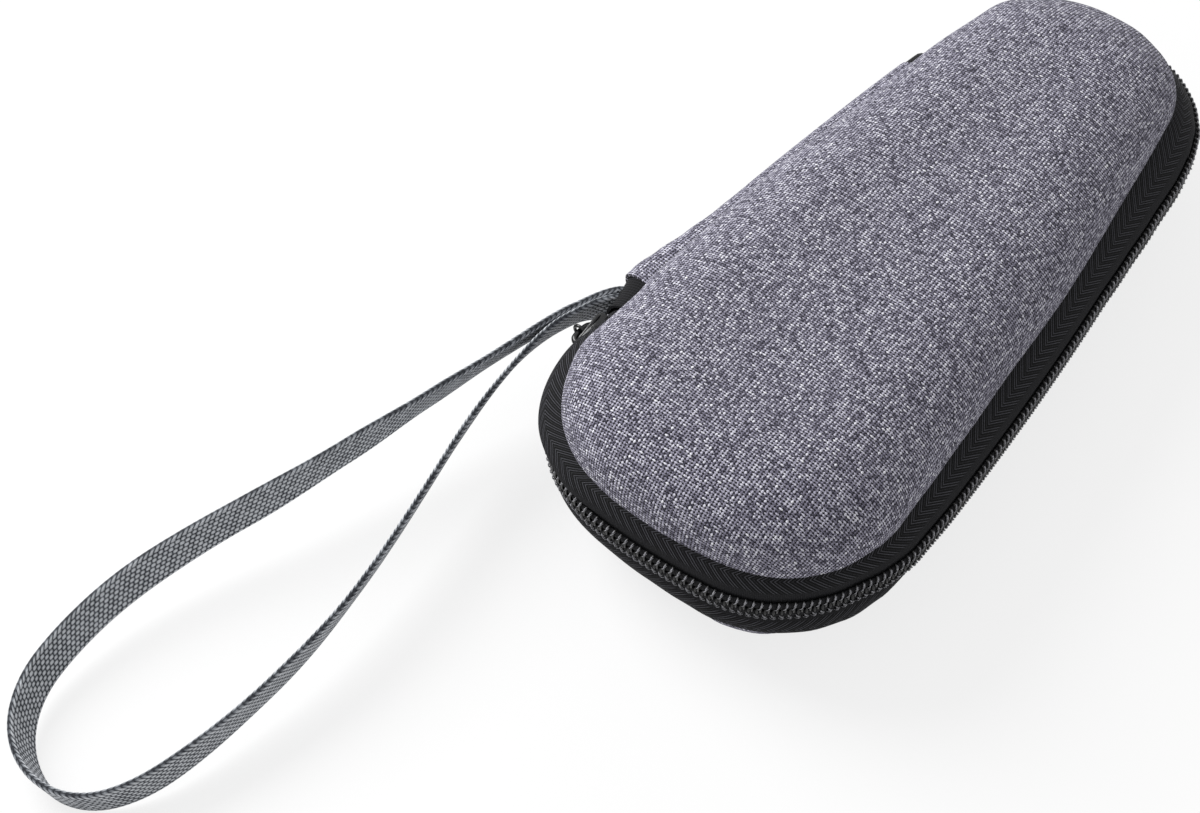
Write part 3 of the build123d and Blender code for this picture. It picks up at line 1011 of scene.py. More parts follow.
def declare_sheet(piece, width, length, area, *carriers):
    """Say that a piece is a stretched sheet cut to a width and length in millimetres."""
    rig.sheet(piece, flat=(width * MM, length * MM), held="stretched", rests_on=carriers, area=area)


def bend_with_lid(piece):
    """Let a strip turn with the lid along its upper edge and stay with the base along its lower one."""
    low = Vector((*BEND_MIDDLE, (SPLIT - BEND_REACH) * MM))
    high = Vector((*BEND_MIDDLE, (SPLIT + BEND_REACH) * MM))
    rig.blend(piece, "base", "lid", start=low, end=high)


class CASE_OT_outer_cloths(bpy.types.Operator):
    """Outer cloth of the lid and the base"""

    bl_idname = "case.outer_cloths"
    bl_label = "Outer cloths"

    def execute(self, context):
        shell = context.scene.case_shell
        for half, side in (("lid", 1), ("base", -1)):
            piece = dome(f"{half}_cloth", side, shell, 0.0, tuck=0.9)
            thicken(piece, shell.cloth)
            seat(piece, half, "heather_cloth", finish_for("cloth"), f"{half}_outer_cloth")
            declare_sheet(piece, 130, 245, CLOTH_AREA, f"{half}_foam")
        return {"FINISHED"}


class CASE_OT_inner_layers(bpy.types.Operator):
    """Foam and lining of both shells"""

    bl_idname = "case.inner_layers"
    bl_label = "Foam and lining"

    def execute(self, context):
        shell = context.scene.case_shell
        for half, side in (("lid", 1), ("base", -1)):
            foam = dome(f"{half}_foam", side, shell, shell.cloth + 0.05, columns=134, fill_rows=4)
            thicken(foam, shell.foam)
            seat(foam, half, "foam", finish_for("foam"), f"{half}_foam_shell")
            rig.padded(foam, fill=1.0)
            inside = shell.cloth + shell.foam + 0.1
            lining = dome(f"{half}_inner_cloth", side, shell, inside, columns=268)
            thicken(lining, shell.lining)
            seat(lining, half, "lining", finish_for("lining"), f"{half}_lining")
            declare_sheet(lining, 115, 230, LINING_AREA, f"{half}_foam")
        return {"FINISHED"}


def strip_round(name, side, profile, first, last, columns, flip=False, skew=((0, 0), (1, 0))):
    """Strip swept along the rim from one distance to another; profile gives its points at a distance.

    Skew says how much further its last end reaches, at shares of its width. It builds up over the
    strip's last sixth.
    """
    rows = len(profile(first)) - 1

    def place(i, j):
        distance = first + (last - first) * i / columns
        distance += along_table(skew, j / rows) * smooth(i / columns * 6 - 5)
        point = profile(distance)[j]
        return rim_point(distance, point[0], side * point[1])

    def weave(i, j):
        distance = first + (last - first) * i / columns
        points = profile(distance)
        run = sum((Vector(b) - Vector(a)).length for a, b in zip(points[:j], points[1 : j + 1]))
        return distance, run

    return grid_piece(name, columns, rows, place, weave, flip=flip)


def tape_profile(side):
    """Face of a zip tape: behind the coil, over a soft ridge and out to the shell's mouth."""
    shell = bpy.context.scene.case_shell
    case_zip = bpy.context.scene.case_zip
    behind_coil = ((1.95, 0.35), (1.95, 1.6), (1.95, 2.6), (1.86, 3.1))

    def profile(distance):
        edge = mouth_inset(side, distance) + 0.7
        if side < 0:
            edge = min(edge, along_table(BASE_LAP, distance % RIM_LENGTH))
        brim = shell.mouth_gap + (0.3 if side < 0 else -0.02)
        tuck = zip_tuck(distance)
        brow = tape_brow(distance) if side > 0 else 0.0
        start = Vector((tuck + 1.75 - brow, case_zip.coil_height + 0.45 - brow * 0.25))
        end = Vector((edge, brim))
        across = end - start
        out = Vector((-across.y, across.x)).normalized()
        if out.x > 0:
            out = -out
        points = [(tuck + inset, level) for inset, level in behind_coil]
        steps = 11
        for step in range(steps + 1):
            share = step / steps
            lift = 0.75 * math.sin(math.pi * share) * (1 - 0.35 * share)
            points.append(tuple(start + across * share + out * lift))
        points.append((mouth_inset(side, distance) + 1.2, brim + 0.1))
        return points

    return profile


class CASE_OT_zip_tapes(bpy.types.Operator):
    """Woven tapes of the zip"""

    bl_idname = "case.zip_tapes"
    bl_label = "Zip tapes"

    def execute(self, context):
        first = hinge_side(NEAR_TAB_Y + 0.2) - RIM_LENGTH
        last = hinge_side(FAR_TAB_Y - 0.2)
        for half, side in (("lid", 1), ("base", -1)):
            tape = strip_round(f"{half}_tape", side, tape_profile(side), first, last, 240, flip=side > 0)
            thicken(tape, context.scene.case_zip.tape)
            seat(tape, half, "zip_tape", finish_for("tape"), f"{half}_zip_tape")
        return {"FINISHED"}


def row_spread(distance):
    """How far a coil row stands off the split: opened by the slider, and closed behind it."""
    place = distance % RIM_LENGTH
    if place < hinge_side(0.0):
        return 0.0
    share = (hinge_side(SLIDER_Y) - place) / SLIDER_LENGTH + 0.5
    share = min(max(share * 1.25, 0), 1)
    return SLIDER_SPREAD * smooth(share)


def tube_mesh(name, sides, stations):
    """Closed tube extruded from a circle. A station is a centre, and a radius across and through."""
    points = [Vector(station[:3]) for station in stations]
    bpy.ops.object.select_all(action="DESELECT")
    bpy.ops.mesh.primitive_circle_add(vertices=sides, radius=1, fill_type="NGON")
    piece = bpy.context.object
    piece.name = name
    bpy.ops.object.mode_set(mode="EDIT")
    for _ in points[1:]:
        bpy.ops.mesh.extrude_region_move(TRANSFORM_OT_translate={"value": (0, 0, 1)})
    bpy.ops.object.mode_set(mode="OBJECT")
    rings = {}
    for vertex in piece.data.vertices:
        rings.setdefault(round(vertex.co.z), []).append(vertex)
    for level, vertices in rings.items():
        before = points[max(level - 1, 0)]
        after = points[min(level + 1, len(points) - 1)]
        ahead = (after - before).normalized()
        sideways = Vector((1, 0, 0))
        upright = ahead.cross(sideways).normalized()
        wide, deep = stations[level][3:]
        for vertex in vertices:
            offset = sideways * (vertex.co.x * wide) + upright * (vertex.co.y * deep)
            vertex.co = (points[level] + offset) * MM
    bpy.ops.object.mode_set(mode="EDIT")
    bpy.ops.mesh.select_all(action="SELECT")
    bpy.ops.mesh.normals_make_consistent(inside=False)
    bpy.ops.object.mode_set(mode="OBJECT")
    return piece


def copies(pattern, places, name):
    """One mesh from a pattern piece set at many places, each a matrix in millimetres."""
    source = pattern.data
    coords = [vertex.co.copy() for vertex in source.vertices]
    faces = [tuple(face.vertices) for face in source.polygons]
    vertices = []
    polygons = []
    for matrix in places:
        start = len(vertices)
        metres = matrix.copy()
        metres.translation = matrix.translation * MM
        vertices += [metres @ coord for coord in coords]
        polygons += [tuple(index + start for index in face) for face in faces]
    mesh = bpy.data.meshes.new(name)
    mesh.from_pydata(vertices, [], polygons)
    mesh.update()
    piece = bpy.data.objects.new(name, mesh)
    bpy.context.scene.collection.objects.link(piece)
    bpy.data.objects.remove(pattern)
    return piece


# Stations of one tooth of the coil, from one end of its loop over the crown to the other
TOOTH = (
    (-0.34, -2.60, -0.90, 0.24, 0.22), (-0.30, -2.74, -0.56, 0.26, 0.25), (-0.22, -2.52, -0.26, 0.27, 0.26),
    (-0.08, -1.80, -0.08, 0.27, 0.26), (0.04, -0.80, -0.02, 0.30, 0.28), (0.10, 0.04, -0.06, 0.40, 0.32),
    (0.12, 0.40, -0.36, 0.42, 0.32), (0.12, 0.34, -0.80, 0.40, 0.28), (0.12, -0.60, -1.10, 0.30, 0.22),
)
# Threads of one stitch over the lid's coil (1) and the base's (-1): name, sides and stations
STITCHES = {
    1: (
        ("slant", 4, (
            (-0.60, -2.70, -0.20, 0.08, 0.10), (-0.26, -2.20, 0.26, 0.13, 0.12),
            (0.26, -1.40, 0.36, 0.13, 0.12), (0.60, -0.90, 0.06, 0.08, 0.10),
        )),
        ("knot", 5, (
            (-0.30, -2.90, -0.30, 0.12, 0.12), (-0.26, -2.72, 0.06, 0.20, 0.16),
            (-0.14, -2.30, 0.20, 0.20, 0.16), (0, -2.0, 0, 0.10, 0.12),
        )),
    ),
    -1: (
        ("bead", 5, (
            (-0.42, -1.00, 0.10, 0.14, 0.14), (-0.18, -1.22, 0.42, 0.22, 0.18),
            (0.18, -1.46, 0.42, 0.22, 0.18), (0.42, -1.70, 0.08, 0.14, 0.14),
        )),
        ("edge", 4, (
            (-0.70, -2.35, -0.10, 0.09, 0.10), (-0.30, -2.55, 0.10, 0.13, 0.12),
            (0.24, -2.75, 0.02, 0.13, 0.12), (0.62, -2.95, -0.35, 0.09, 0.10),
        )),
    ),
}
TOOTH_SIDES = 7


class CASE_OT_zip_coils(bpy.types.Operator):
    """Nylon coil rows, tooth by tooth, and the stitches that hold them to the tapes"""

    bl_idname = "case.zip_coils"
    bl_label = "Zip coils"

    def execute(self, context):
        pitch = context.scene.case_zip.pitch
        zip_near = hinge_side(NEAR_TAB_Y)
        zip_far = hinge_side(FAR_TAB_Y)
        for half, side in (("lid", 1), ("base", -1)):
            distance = zip_near + TAB_LENGTH + (0.5 + 0.25 * side) * pitch
            places = []
            while distance < zip_far + RIM_LENGTH - TAB_LENGTH - pitch / 2:
                lift = Matrix.Translation((0, -side * row_spread(distance), 0))
                turn = Matrix.Rotation(math.pi if side < 0 else 0, 4, "Z")
                places.append(rim_frame(distance) @ lift @ turn)
                distance += pitch
            tooth = tube_mesh("tooth", TOOTH_SIDES, TOOTH)
            row = copies(tooth, places, f"{half}_coil")
            seat(row, half, "zip_coil", finish_for("coil"), f"{half}_zip_coil", angle=80)
            stitch = join([tube_mesh(*thread) for thread in STITCHES[side]], "stitch")
            line = copies(stitch, places, f"{half}_coil_stitches")
            seat(line, half, "zip_tape", finish_for("thread"), angle=80)
            self.core(half, side, zip_near - RIM_LENGTH + TAB_LENGTH, zip_far - TAB_LENGTH)
        return {"FINISHED"}

    def core(self, half, side, first, last):
        """Filler cord that runs inside the loops of a coil."""
        def profile(distance):
            inset = coil_tuck(distance) + CORE_INSET
            height = CORE_HEIGHT + row_spread(distance)
            points = []
            for step in range(CORE_SIDES + 1):
                angle = 2 * math.pi * step / CORE_SIDES
                points.append((
                    inset + CORE_HALF_DEPTH * math.cos(angle), height + CORE_HALF_HEIGHT * math.sin(angle)
                ))
            return points

        cord = strip_round(f"{half}_coil_core", side, profile, first, last, 300)
        close_ends(cord)
        seat(cord, half, "zip_coil", finish_for("tape"), angle=80)


def close_ends(piece):
    """Fill the open ends of a band or tube."""
    bpy.ops.object.select_all(action="DESELECT")
    bpy.context.view_layer.objects.active = piece
    piece.select_set(True)
    bpy.ops.object.mode_set(mode="EDIT")
    bpy.ops.mesh.select_all(action="DESELECT")
    bpy.ops.mesh.select_non_manifold()
    bpy.ops.mesh.edge_face_add()
    bpy.ops.mesh.select_all(action="SELECT")
    bpy.ops.mesh.normals_make_consistent(inside=False)
    bpy.ops.object.mode_set(mode="OBJECT")


def bow_profile(distance, bow, lift=0.0):
    """Cloth across the hinge gap from one mouth to the other, bowed out past the rim by so much."""
    upper = mouth_inset(1, distance) + GAP_SEAM
    lower = mouth_inset(-1, distance) + GAP_SEAM
    points = []
    steps = 16
    for step in range(steps + 1):
        share = step / steps
        swell = math.sin(math.pi * share)
        height = GAP_HALF_HEIGHT * math.cos(math.pi * share) + lift * swell
        edge = upper + (lower - upper) * share
        points.append((edge - (edge + bow) * swell ** 0.8, height))
    return points


class CASE_OT_hinge_cloths(bpy.types.Operator):
    """Cloth hinge, outside and inside"""

    bl_idname = "case.hinge_cloths"
    bl_label = "Hinge cloths"

    def execute(self, context):
        shell = context.scene.case_shell
        first, last = hinge_side(HINGE_FAR_Y), hinge_side(HINGE_NEAR_Y)
        swells = ((first, 1.0), (400, 0.9), (410, 1.1), (420, 1.9), (430, 3.1), (last - 2, 3.9), (last, 3.8))

        def outside(distance):
            bow = along_table(swells, distance)
            return bow_profile(distance, bow, bow * 0.5)

        end = ((0, 3.4), (0.25, 2.4), (0.5, 1.2), (0.8, 0), (1, 0))
        cloth = strip_round("hinge_strip", 1, outside, first, last, 60, skew=end)
        for loop in cloth.data.loops:
            uv = cloth.data.uv_layers[0].data[loop.index].uv
            uv.x, uv.y = uv.y, uv.x
        thicken(cloth, shell.cloth)
        seat(cloth, None, "heather_cloth", finish_for("cloth"), "hinge_cloth")
        declare_sheet(cloth, 25, 103, None, "lid_cloth", "base_cloth")
        bend_with_lid(cloth)

        def inside(distance):
            inset = max(mouth_inset(1, distance), mouth_inset(-1, distance)) + 6.7
            heights = (11.0, 7.5, 4.0, 0.0, -4.0, -7.5, -11.0)
            return [(inset + 0.5 - 0.9 * math.cos(height / 11 * math.pi / 2), height) for height in heights]

        liner = strip_round("hinge_inner_strip", 1, inside, first, last, 40)
        thicken(liner, 0.5)
        seat(liner, None, "lining", finish_for("lining"), "hinge_lining")
        declare_sheet(liner, 22, 93, None, "lid_inner_cloth", "base_inner_cloth")
        bend_with_lid(liner)
        return {"FINISHED"}


class CASE_OT_zip_tabs(bpy.types.Operator):
    """Tape folded over each end of the zip"""

    bl_idname = "case.zip_tabs"
    bl_label = "Zip tabs"

    def execute(self, context):
        for name, from_y, to_y, node, bows in (
            ("near_tab", HINGE_NEAR_Y + 2.0, NEAR_TAB_Y - TAB_LENGTH, "near_zip_tab", (3.3, 0.9)),
            ("far_tab", FAR_TAB_Y + TAB_LENGTH, FAR_TAB_Y, "far_zip_tab", (0.7, 0.7)),
        ):
            first, last = hinge_side(from_y), hinge_side(to_y)

            def profile(distance):
                bow = bows[0] + (bows[1] - bows[0]) * smooth((distance - first) / (last - first))
                return bow_profile(distance, bow, bow * 0.4)

            tab = strip_round(name, 1, profile, first, last, 16)
            thicken(tab, 0.7)
            seat(tab, None, "zip_tape", finish_for("binding"), node)
            bend_with_lid(tab)
        return {"FINISHED"}


class CASE_OT_bindings(bpy.types.Operator):
    """Binding tape inside both mouths"""

    bl_idname = "case.bindings"
    bl_label = "Bindings"

    def execute(self, context):
        for half, side in (("lid", 1), ("base", -1)):
            def profile(distance):
                inset = mouth_inset(side, distance)
                return [(inset + deep, height) for deep, height in BINDING_SECTION]

            binding = strip_round(f"{half}_edge_tape", side, profile, 0, RIM_LENGTH, 200, flip=side < 0)
            thicken(binding, 0.5)
            seat(binding, half, "binding", finish_for("binding"), f"{half}_binding")
        return {"FINISHED"}


def outline_plate(name, points, low, high, bevel, segments=3):
    """Plate with rounded edges: an outline in the plane, extruded from low to high."""
    bpy.ops.object.select_all(action="DESELECT")
    bpy.ops.mesh.primitive_circle_add(vertices=len(points), radius=1, fill_type="NGON")
    piece = bpy.context.object
    piece.name = name
    for vertex, point in zip(piece.data.vertices, points):
        vertex.co = Vector((point[0], point[1], low)) * MM
    bpy.ops.object.mode_set(mode="EDIT")
    bpy.ops.mesh.select_all(action="SELECT")
    bpy.ops.mesh.extrude_region_move(TRANSFORM_OT_translate={"value": (0, 0, (high - low) * MM)})
    bpy.ops.mesh.select_all(action="SELECT")
    bpy.ops.mesh.normals_make_consistent(inside=False)
    bpy.ops.object.mode_set(mode="OBJECT")
    if bevel:
        apply_modifier(
            piece, "BEVEL", width=bevel * MM, segments=segments, limit_method="ANGLE",
            angle_limit=math.radians(40),
        )
    return piece


def shield_outline(tail, nose, length, corner, steps=5):
    """Outline of a slider plate: narrow at the tail, wide at the nose, rounded corners."""
    points = []
    corners = (
        (-length / 2, -tail / 2, 180), (length / 2, -nose / 2, 270),
        (length / 2, nose / 2, 0), (-length / 2, tail / 2, 90),
    )
    for x, y, start in corners:
        centre = (x - math.copysign(corner, x), y - math.copysign(corner, y))
        for step in range(steps + 1):
            angle = math.radians(start + 90 * step / steps)
            points.append((centre[0] + corner * math.cos(angle), centre[1] + corner * math.sin(angle)))
    return points


def control_curve(name, points):
    """Object with one open NURBS spline that has these control points, in millimetres."""
    curve = bpy.data.curves.new(name, "CURVE")
    curve.dimensions = "3D"
    spline = curve.splines.new("NURBS")
    spline.points.add(len(points) - 1)
    for target, (x, y, z) in zip(spline.points, points):
        target.co = (x * MM, y * MM, z * MM, 1)
    spline.order_u = 3
    spline.use_endpoint_u = True
    line = bpy.data.objects.new(name, curve)
    bpy.context.scene.collection.objects.link(line)
    return line


def put(piece, matrix):
    """Move a piece's mesh from slider coordinates into the case."""
    metres = matrix.copy()
    metres.translation = matrix.translation * MM
    piece.data.transform(metres)
    piece.data.update()


class CASE_OT_slider(bpy.types.Operator):
    """Slider: outer plate with rolled lips, inner plate, wedge and bail"""

    bl_idname = "case.slider"
    bl_label = "Slider"

    def execute(self, context):
        place = rim_frame(hinge_side(SLIDER_Y))
        lip_end = SLIDER_LENGTH / 2 - LIP_SETBACK
        plate = outline_plate("plate", shield_outline(*PLATE_WIDTHS, SLIDER_LENGTH, 2.6), 0.5, 1.6, 0.42)
        lips = []
        for sign in (-1, 1):
            corners = [(-lip_end, 4.15), (lip_end, 5.7), (lip_end, 5.25), (-lip_end, 3.6)]
            corners = [(x, sign * y) for x, y in corners]
            lips.append(outline_plate("lip", corners, -1.0, 0.9, 0.2))
        back = outline_plate("back", shield_outline(*BACK_WIDTHS, SLIDER_LENGTH, 2.0), -4.0, -2.9, 0.3)
        wedge = outline_plate("wedge", [(1.27, 0.0), (4.8, -0.8), (4.8, 0.8)], -3.4, 0.7, 0.12)
        groove = outline_plate("groove", shield_outline(*GROOVE_WIDTHS, 7.4, 1.6), 1.5, 1.82, 0.15)
        body = join([plate, *lips, back, wedge, groove], "slider_casting")
        put(body, place)
        seat(body, "slider", "slider_metal", finish_for("lacquer"), "slider_body", angle=40)
        rise = ((3.3, 1.2), (3.35, 2.6), (3.0, 3.7), (1.9, 4.35))
        arch = [(-x, 0, z) for x, z in rise] + [(x, 0, z) for x, z in reversed(rise)]
        bail = self.arch_tube("slider_loop", arch, 0.85)
        put(bail, place)
        seat(bail, "slider", "slider_metal", finish_for("lacquer"), "slider_bail", angle=60)
        return {"FINISHED"}

    def arch_tube(self, name, points, radius):
        """Tube along the smooth curve that control points give."""
        line = control_curve(name, points)
        line.data.bevel_depth = radius * MM
        line.data.bevel_resolution = 3
        line.data.use_fill_caps = True
        mesh = bpy.data.meshes.new_from_object(line.evaluated_get(bpy.context.evaluated_depsgraph_get()))
        bpy.data.objects.remove(line)
        piece = bpy.data.objects.new(name, mesh)
        mesh.name = name
        bpy.context.scene.collection.objects.link(piece)
        return piece


class CASE_OT_zip_pull(bpy.types.Operator):
    """Pull that hangs from the slider's bail"""

    bl_idname = "case.zip_pull"
    bl_label = "Zip pull"

    def execute(self, context):
        place = rim_frame(hinge_side(SLIDER_Y))
        bar = 4.3
        ring_inner, ring_outer = 1.3, 2.2
        bpy.ops.object.select_all(action="DESELECT")
        bpy.ops.mesh.primitive_torus_add(
            major_radius=(ring_inner + ring_outer) / 2 * MM, minor_radius=(ring_outer - ring_inner) / 2 * MM,
            major_segments=32, minor_segments=10, rotation=(0, math.pi / 2, 0), location=(0, 0, bar * MM),
        )
        ring = bpy.context.object
        bpy.ops.object.transform_apply(location=True, rotation=True, scale=True)
        top, bottom, half = 2.0, 19.6, 2.5
        half_thick, relief_height, relief_share = 0.6, 0.12, 0.62
        shoulder_y, hole_y, hole_radius = 4.2, 17.4, 1.0
        outline = []
        for step in range(13):
            angle = math.pi * step / 12
            outline.append((half * math.cos(angle), bottom - half + half * math.sin(angle)))
        outline += [
            (-half, 7.0), (-1.7, shoulder_y), (-1.3, top), (1.3, top), (1.7, shoulder_y), (half, 7.0)
        ]
        tab = outline_plate("tab", outline, bar - half_thick, bar + half_thick, 0.28)
        bpy.ops.object.select_all(action="DESELECT")
        bpy.ops.mesh.primitive_cylinder_add(
            vertices=24, radius=hole_radius * MM, depth=4 * MM, location=(0, hole_y * MM, bar * MM)
        )
        drill = bpy.context.object
        apply_modifier(tab, "BOOLEAN", object=drill, operation="DIFFERENCE", solver="EXACT")
        bpy.data.objects.remove(drill)
        face = [
            (x * relief_share, shoulder_y + 1.0 + (y - shoulder_y) * relief_share)
            for x, y in outline if y > shoulder_y
        ]
        reach = half_thick + relief_height
        relief = outline_plate("relief", face, bar - reach, bar + reach, 0.12)
        pull = join([ring, tab, relief], "pull_casting")
        put(pull, place)
        seat(pull, "pull", "slider_metal", finish_for("lacquer"), "zip_pull", angle=40)
        return {"FINISHED"}


class CASE_OT_wrist_strap(bpy.types.Operator):
    """Webbing loop and its sewn root"""

    bl_idname = "case.wrist_strap"
    bl_label = "Wrist strap"

    def execute(self, context):
        strap = context.scene.case_strap
        path = self.strap_path()
        runs = [0.0]
        for before, after in zip(path, path[1:]):
            runs.append(runs[-1] + (after - before).length)
        plane_up = Vector((0, -STRAP_SLOPE, 1)).normalized()
        section = self.webbing_section(strap.width, strap.thickness)
        half = strap.width / 2

        def place(i, j):
            before = path[max(i - 1, 0)]
            after = path[min(i + 1, len(path) - 1)]
            ahead = (after - before).normalized()
            lean = Matrix.Rotation(math.radians(along_table(STRAP_LEAN, runs[i] / runs[-1])), 3, ahead)
            up = lean @ (plane_up - ahead * plane_up.dot(ahead)).normalized()
            side = ahead.cross(up)
            across, through = section[j]
            return path[i] + up * across + side * through

        def weave(i, j):
            return runs[i], section[j][0] + half

        band = grid_piece("wrist_loop", len(path) - 1, len(section) - 1, place, weave)
        close_ends(band)
        seat(band, "base", "strap_webbing", finish_for("webbing"), "wrist_strap", angle=60)
        points = [tuple(point * MM) for point in path]
        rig.cord(
            band, exit=points[0], length=runs[-1] * MM, diameter=strap.width * MM, far_end="object",
            stiffness="medium", lay="loose", path=points,
        )
        roots = []
        for end, tip in ((0, 1), (-1, -2)):
            start = path[end] + (path[tip] - path[end]).normalized() * 1.0
            heading = (path[end] - path[tip]).normalized()
            inward = (heading + Vector((1.0, 0.25, 0))).normalized()
            line = [start, start + heading * 1.4, start + heading * 2.4 + inward * 1.2,
                    start + heading * 2.8 + inward * 3.4, start + heading * 2.8 + inward * 5.4]
            roots.append(self.root_band(line, plane_up, section, half, runs[-1] if end else 0.0))
        root = join(roots, "strap_root")
        seat(root, "base", "strap_webbing", finish_for("webbing"), "strap_anchor", angle=60)
        return {"FINISHED"}

    def strap_path(self):
        """Points on the smooth curve that the route's control points give, in millimetres."""
        route = [(x, y, SPLIT + STRAP_SLOPE * (y - STRAP_ROOT_Y)) for x, y in STRAP_ROUTE]
        line = control_curve("strap_line", route)
        line.data.resolution_u = 12
        mesh = bpy.data.meshes.new_from_object(line)
        path = [vertex.co / MM for vertex in mesh.vertices]
        bpy.data.objects.remove(line)
        bpy.data.meshes.remove(mesh)
        return path

    def webbing_section(self, width, thickness):
        """Closed section of the webbing: across it and through it, with round edges."""
        half, deep = width / 2, thickness / 2
        face = [-half + deep * 0.7 + (width - deep * 1.4) * step / 8 for step in range(9)]
        points = [(across, deep) for across in face]
        points += [(half - deep * 0.15, deep * 0.6), (half, 0), (half - deep * 0.15, -deep * 0.6)]
        points += [(across, -deep) for across in reversed(face)]
        points += [(-half + deep * 0.15, -deep * 0.6), (-half, 0), (-half + deep * 0.15, deep * 0.6)]
        return points + [points[0]]

    def root_band(self, line, plane_up, section, half, first):
        """Short end of the webbing that turns in under the seam."""
        def place(i, j):
            before = line[max(i - 1, 0)]
            after = line[min(i + 1, len(line) - 1)]
            ahead = (after - before).normalized()
            up = (plane_up - ahead * plane_up.dot(ahead)).normalized()
            across, through = section[j]
            return line[i] + up * across + ahead.cross(up) * through

        def weave(i, j):
            return first + i * 2.0, section[j][0] + half

        band = grid_piece("root", len(line) - 1, len(section) - 1, place, weave)
        close_ends(band)
        return band


def half_between(side, y, inside):
    """Half of a shell's inner width at a y, so far inside its mouth."""
    low, high = 0.0, HALF_LENGTH
    for _ in range(30):
        middle = (low + high) / 2
        inner = rim_point(middle, mouth_inset(side, middle) + inside, 0)
        low, high = (middle, high) if inner.y < y else (low, middle)
    right = rim_point(low, mouth_inset(side, low) + inside, 0).x
    left = rim_point(-low, mouth_inset(side, -low) + inside, 0).x
    return left, right


class CASE_OT_net_pocket(bpy.types.Operator):
    """Net pocket in the lid, with its border and elastic hem"""

    bl_idname = "case.net_pocket"
    bl_label = "Net pocket"

    def execute(self, context):
        near, mouth, level = -91.5, 31.0, 8.5
        cell, thread = 3.2, 0.75
        columns, rows = 24, 38

        def place(i, j):
            y = near + (mouth - near) * j / rows
            left, right = half_between(1, y, 7.1)
            across = i / columns
            sag = 0.5 * math.sin(math.pi * across) * math.sin(math.pi * j / rows)
            return Vector((left + (right - left) * across, y, SPLIT + level - sag))

        net = grid_piece("net_mesh", columns, rows, place, lambda i, j: (i * cell, j * cell))
        apply_modifier(net, "WIREFRAME", thickness=thread * MM, use_boundary=True, use_even_offset=False)
        seat(net, "lid", "net", finish_for("net"), "lid_net_pocket", angle=80)
        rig.sheet(
            net, flat=(0.085, 0.125), held="stretched", rests_on=["lid_edge_tape"], area=NET_AREA,
            with_pieces=[self.border(), self.hem()],
        )
        return {"FINISHED"}

    def border(self):
        """Plain tape that holds the net's edge to the lid's binding."""
        last = hinge_side(28.0) - RIM_LENGTH
        first = -last

        def profile(distance):
            inset = mouth_inset(1, distance) + 6.3
            return [(inset, 8.75), (inset + 1.6, 8.95), (inset + 3.2, 8.85), (inset + 4.8, 8.55)]

        edge = strip_round("net_border", 1, profile, last, first, 160, flip=True)
        thicken(edge, 0.6, offset=0.0)
        return seat(edge, "lid", "net", finish_for("binding"))

    def hem(self):
        """Gathered elastic along the pocket's mouth."""
        columns, rows = 72, 8

        def place(i, j):
            y = 30.3 + 8.5 * j / rows
            left, right = half_between(1, y, 6.6)
            pucker = 0.22 * math.sin(2 * math.pi * i / 6) * math.sin(math.pi * j / rows)
            return Vector((left + (right - left) * i / columns, y, SPLIT + 8.6 + pucker))

        hem = grid_piece("pocket_hem", columns, rows, place, lambda i, j: (i * 0.8, j * 1.06))
        thicken(hem, 0.9, offset=0.0)
        return seat(hem, "lid", "elastic", finish_for("elastic"), "net_pocket_hem")


class CASE_OT_elastic_band(bpy.types.Operator):
    """Elastic band over the base"""

    bl_idname = "case.elastic_band"
    bl_label = "Elastic band"

    def execute(self, context):
        rows, columns = 10, 48
        middle, width = 5.0, 25.0

        def place(i, j):
            y = middle + width * (j / rows - 0.5)
            left, right = half_between(-1, y, 5.9)
            across = i / columns
            wave = 0.25 * math.sin(across * 14.0) * math.cos(math.pi * (j / rows - 0.5))
            return Vector((left + (right - left) * across, y, SPLIT - 8.6 + wave))

        band = grid_piece("elastic_strap", columns, rows, place, lambda i, j: (j * 2.5, i * 1.6))
        thicken(band, 1.1, offset=0.0)
        seat(band, "base", "elastic", finish_for("elastic"), "base_elastic_band")
        declare_sheet(band, 25, 78, None, "base_edge_tape")
        return {"FINISHED"}


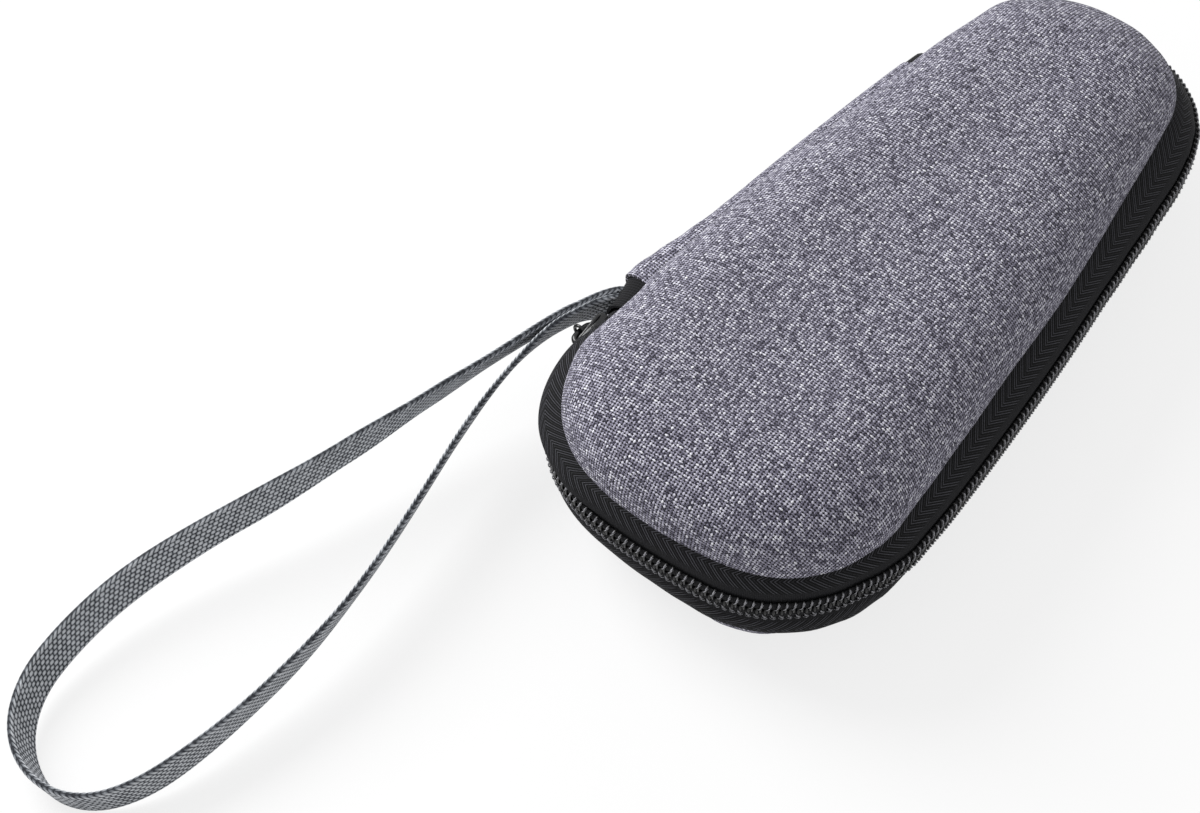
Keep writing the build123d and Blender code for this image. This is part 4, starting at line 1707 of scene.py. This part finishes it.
class CASE_OT_stage(bpy.types.Operator):
    """Floor, light and camera"""

    bl_idname = "case.stage"
    bl_label = "Stage"

    def execute(self, context):
        stage = context.scene.case_stage
        bpy.ops.object.select_all(action="DESELECT")
        bpy.ops.mesh.primitive_plane_add(size=6)
        floor = context.object
        floor.name = "floor"
        floor.data.materials.append(self.paper(stage))
        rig.stage(floor)
        self.lights(context, stage)
        self.camera(context, stage)
        context.scene.view_settings.view_transform = "Standard"
        return {"FINISHED"}

    def paper(self, stage):
        """Pale paper. The camera and shiny surfaces see it partly as plain white, with a light shadow."""
        finish = Finish("floor_paper", roughness=0.95, specular_ior_level=0.0)
        grain = finish.noise(finish.object_point(), 0.02, 2.0)
        finish.surface(finish.mix(grain, tuple(stage.floor_colour), tuple(stage.floor_mottle)))
        white = finish.node("ShaderNodeEmission", Color=(1, 1, 1, 1), Strength=1.0)
        blend = finish.node(
            "ShaderNodeMixShader", i0=finish.plain_rays() * stage.paper_white,
            i1=Value(finish, finish.shader.outputs[0]), i2=Value(finish, white.outputs[0]),
        )
        out = finish.tree.nodes["Material Output"]
        finish.feed(out.inputs["Surface"], Value(finish, blend.outputs[0]))
        return finish.material

    def lights(self, context, stage):
        """Even light that looks plain white, and one soft lamp."""
        world = bpy.data.worlds.new("even_sky")
        context.scene.world = world
        world.use_nodes = True
        sky = Nodes(world.node_tree)
        background = sky.tree.nodes["Background"].inputs
        sky.feed(background["Color"], (1, 1, 1, 1))
        strength = sky.node("ShaderNodeMapRange", Value=sky.plain_rays(), To_Min=stage.sky, To_Max=1.0)
        sky.feed(background["Strength"], Value(sky, strength.outputs[0]))
        lamp_data = bpy.data.lights.new("soft_lamp", "AREA")
        lamp_data.energy = stage.lamp
        lamp_data.shape = "DISK"
        lamp_data.size = stage.lamp_size
        lamp = bpy.data.objects.new("soft_lamp", lamp_data)
        context.scene.collection.objects.link(lamp)
        position = Vector(stage.lamp_place)
        aim = (position - Vector((0, position.y, 0))).to_track_quat("Z", "Y")
        lamp.matrix_world = Matrix.Translation(position) @ aim.to_matrix().to_4x4()

    def camera(self, context, stage):
        """Camera that looks at its target from an angle, with a roll and a shifted lens."""
        azimuth, elevation, roll = stage.azimuth, stage.elevation, stage.roll
        back = Vector((
            math.sin(azimuth) * math.cos(elevation),
            -math.cos(azimuth) * math.cos(elevation),
            math.sin(elevation),
        ))
        level = (-back).cross(Vector((0, 0, 1))).normalized()
        upright = level.cross(-back)
        right = level * math.cos(roll) + upright * math.sin(roll)
        up = upright * math.cos(roll) - level * math.sin(roll)
        data = bpy.data.cameras.new("camera")
        data.sensor_width = 36
        data.lens = stage.focal
        data.shift_x, data.shift_y = stage.shift
        camera = bpy.data.objects.new("camera", data)
        context.scene.collection.objects.link(camera)
        turn = Matrix((right, up, back)).transposed().to_4x4()
        camera.matrix_world = Matrix.Translation(Vector(stage.target) + back * stage.distance) @ turn
        context.scene.camera = camera


class CASE_PT_panel(bpy.types.Panel):
    """Lists the pieces of the case"""

    bl_idname = "CASE_PT_panel"
    bl_label = "Trimmer case"
    bl_space_type = "VIEW_3D"
    bl_region_type = "UI"
    bl_category = "Case"

    def draw(self, context):
        column = self.layout.column(align=True)
        for operator in PIECES:
            column.operator(operator.bl_idname)
        for group in ("case_shell", "case_cloth", "case_zip", "case_strap", "case_stage"):
            box = self.layout.box()
            settings = getattr(context.scene, group)
            for name in settings.__annotations__:
                box.prop(settings, name)


PIECES = (
    CASE_OT_stage,
    CASE_OT_wrist_strap,
    CASE_OT_outer_cloths,
    CASE_OT_inner_layers,
    CASE_OT_bindings,
    CASE_OT_zip_tapes,
    CASE_OT_zip_coils,
    CASE_OT_hinge_cloths,
    CASE_OT_zip_tabs,
    CASE_OT_slider,
    CASE_OT_zip_pull,
    CASE_OT_net_pocket,
    CASE_OT_elastic_band,
)
SETTINGS = (
    ("case_shell", CaseShellSettings),
    ("case_cloth", CaseClothSettings),
    ("case_zip", CaseZipSettings),
    ("case_strap", CaseStrapSettings),
    ("case_stage", CaseStageSettings),
)


def register():
    for name, group in SETTINGS:
        bpy.utils.register_class(group)
        setattr(bpy.types.Scene, name, bpy.props.PointerProperty(type=group))
    for operator in (*PIECES, CASE_PT_panel):
        bpy.utils.register_class(operator)


def unregister():
    for operator in (CASE_PT_panel, *reversed(PIECES)):
        bpy.utils.unregister_class(operator)
    for name, group in reversed(SETTINGS):
        delattr(bpy.types.Scene, name)
        bpy.utils.unregister_class(group)


def main():
    register()
    for operator in PIECES:
        group, name = operator.bl_idname.split(".")
        getattr(getattr(bpy.ops, group), name)()
    boxes = {"cad": cad_box, "visual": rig.bounds()}
    plain = {key: [[float(part) for part in corner] for corner in box] for key, box in boxes.items()}
    with open("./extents.json", "w") as report:
        json.dump(plain, report)


if __name__ == "__main__":
    main()
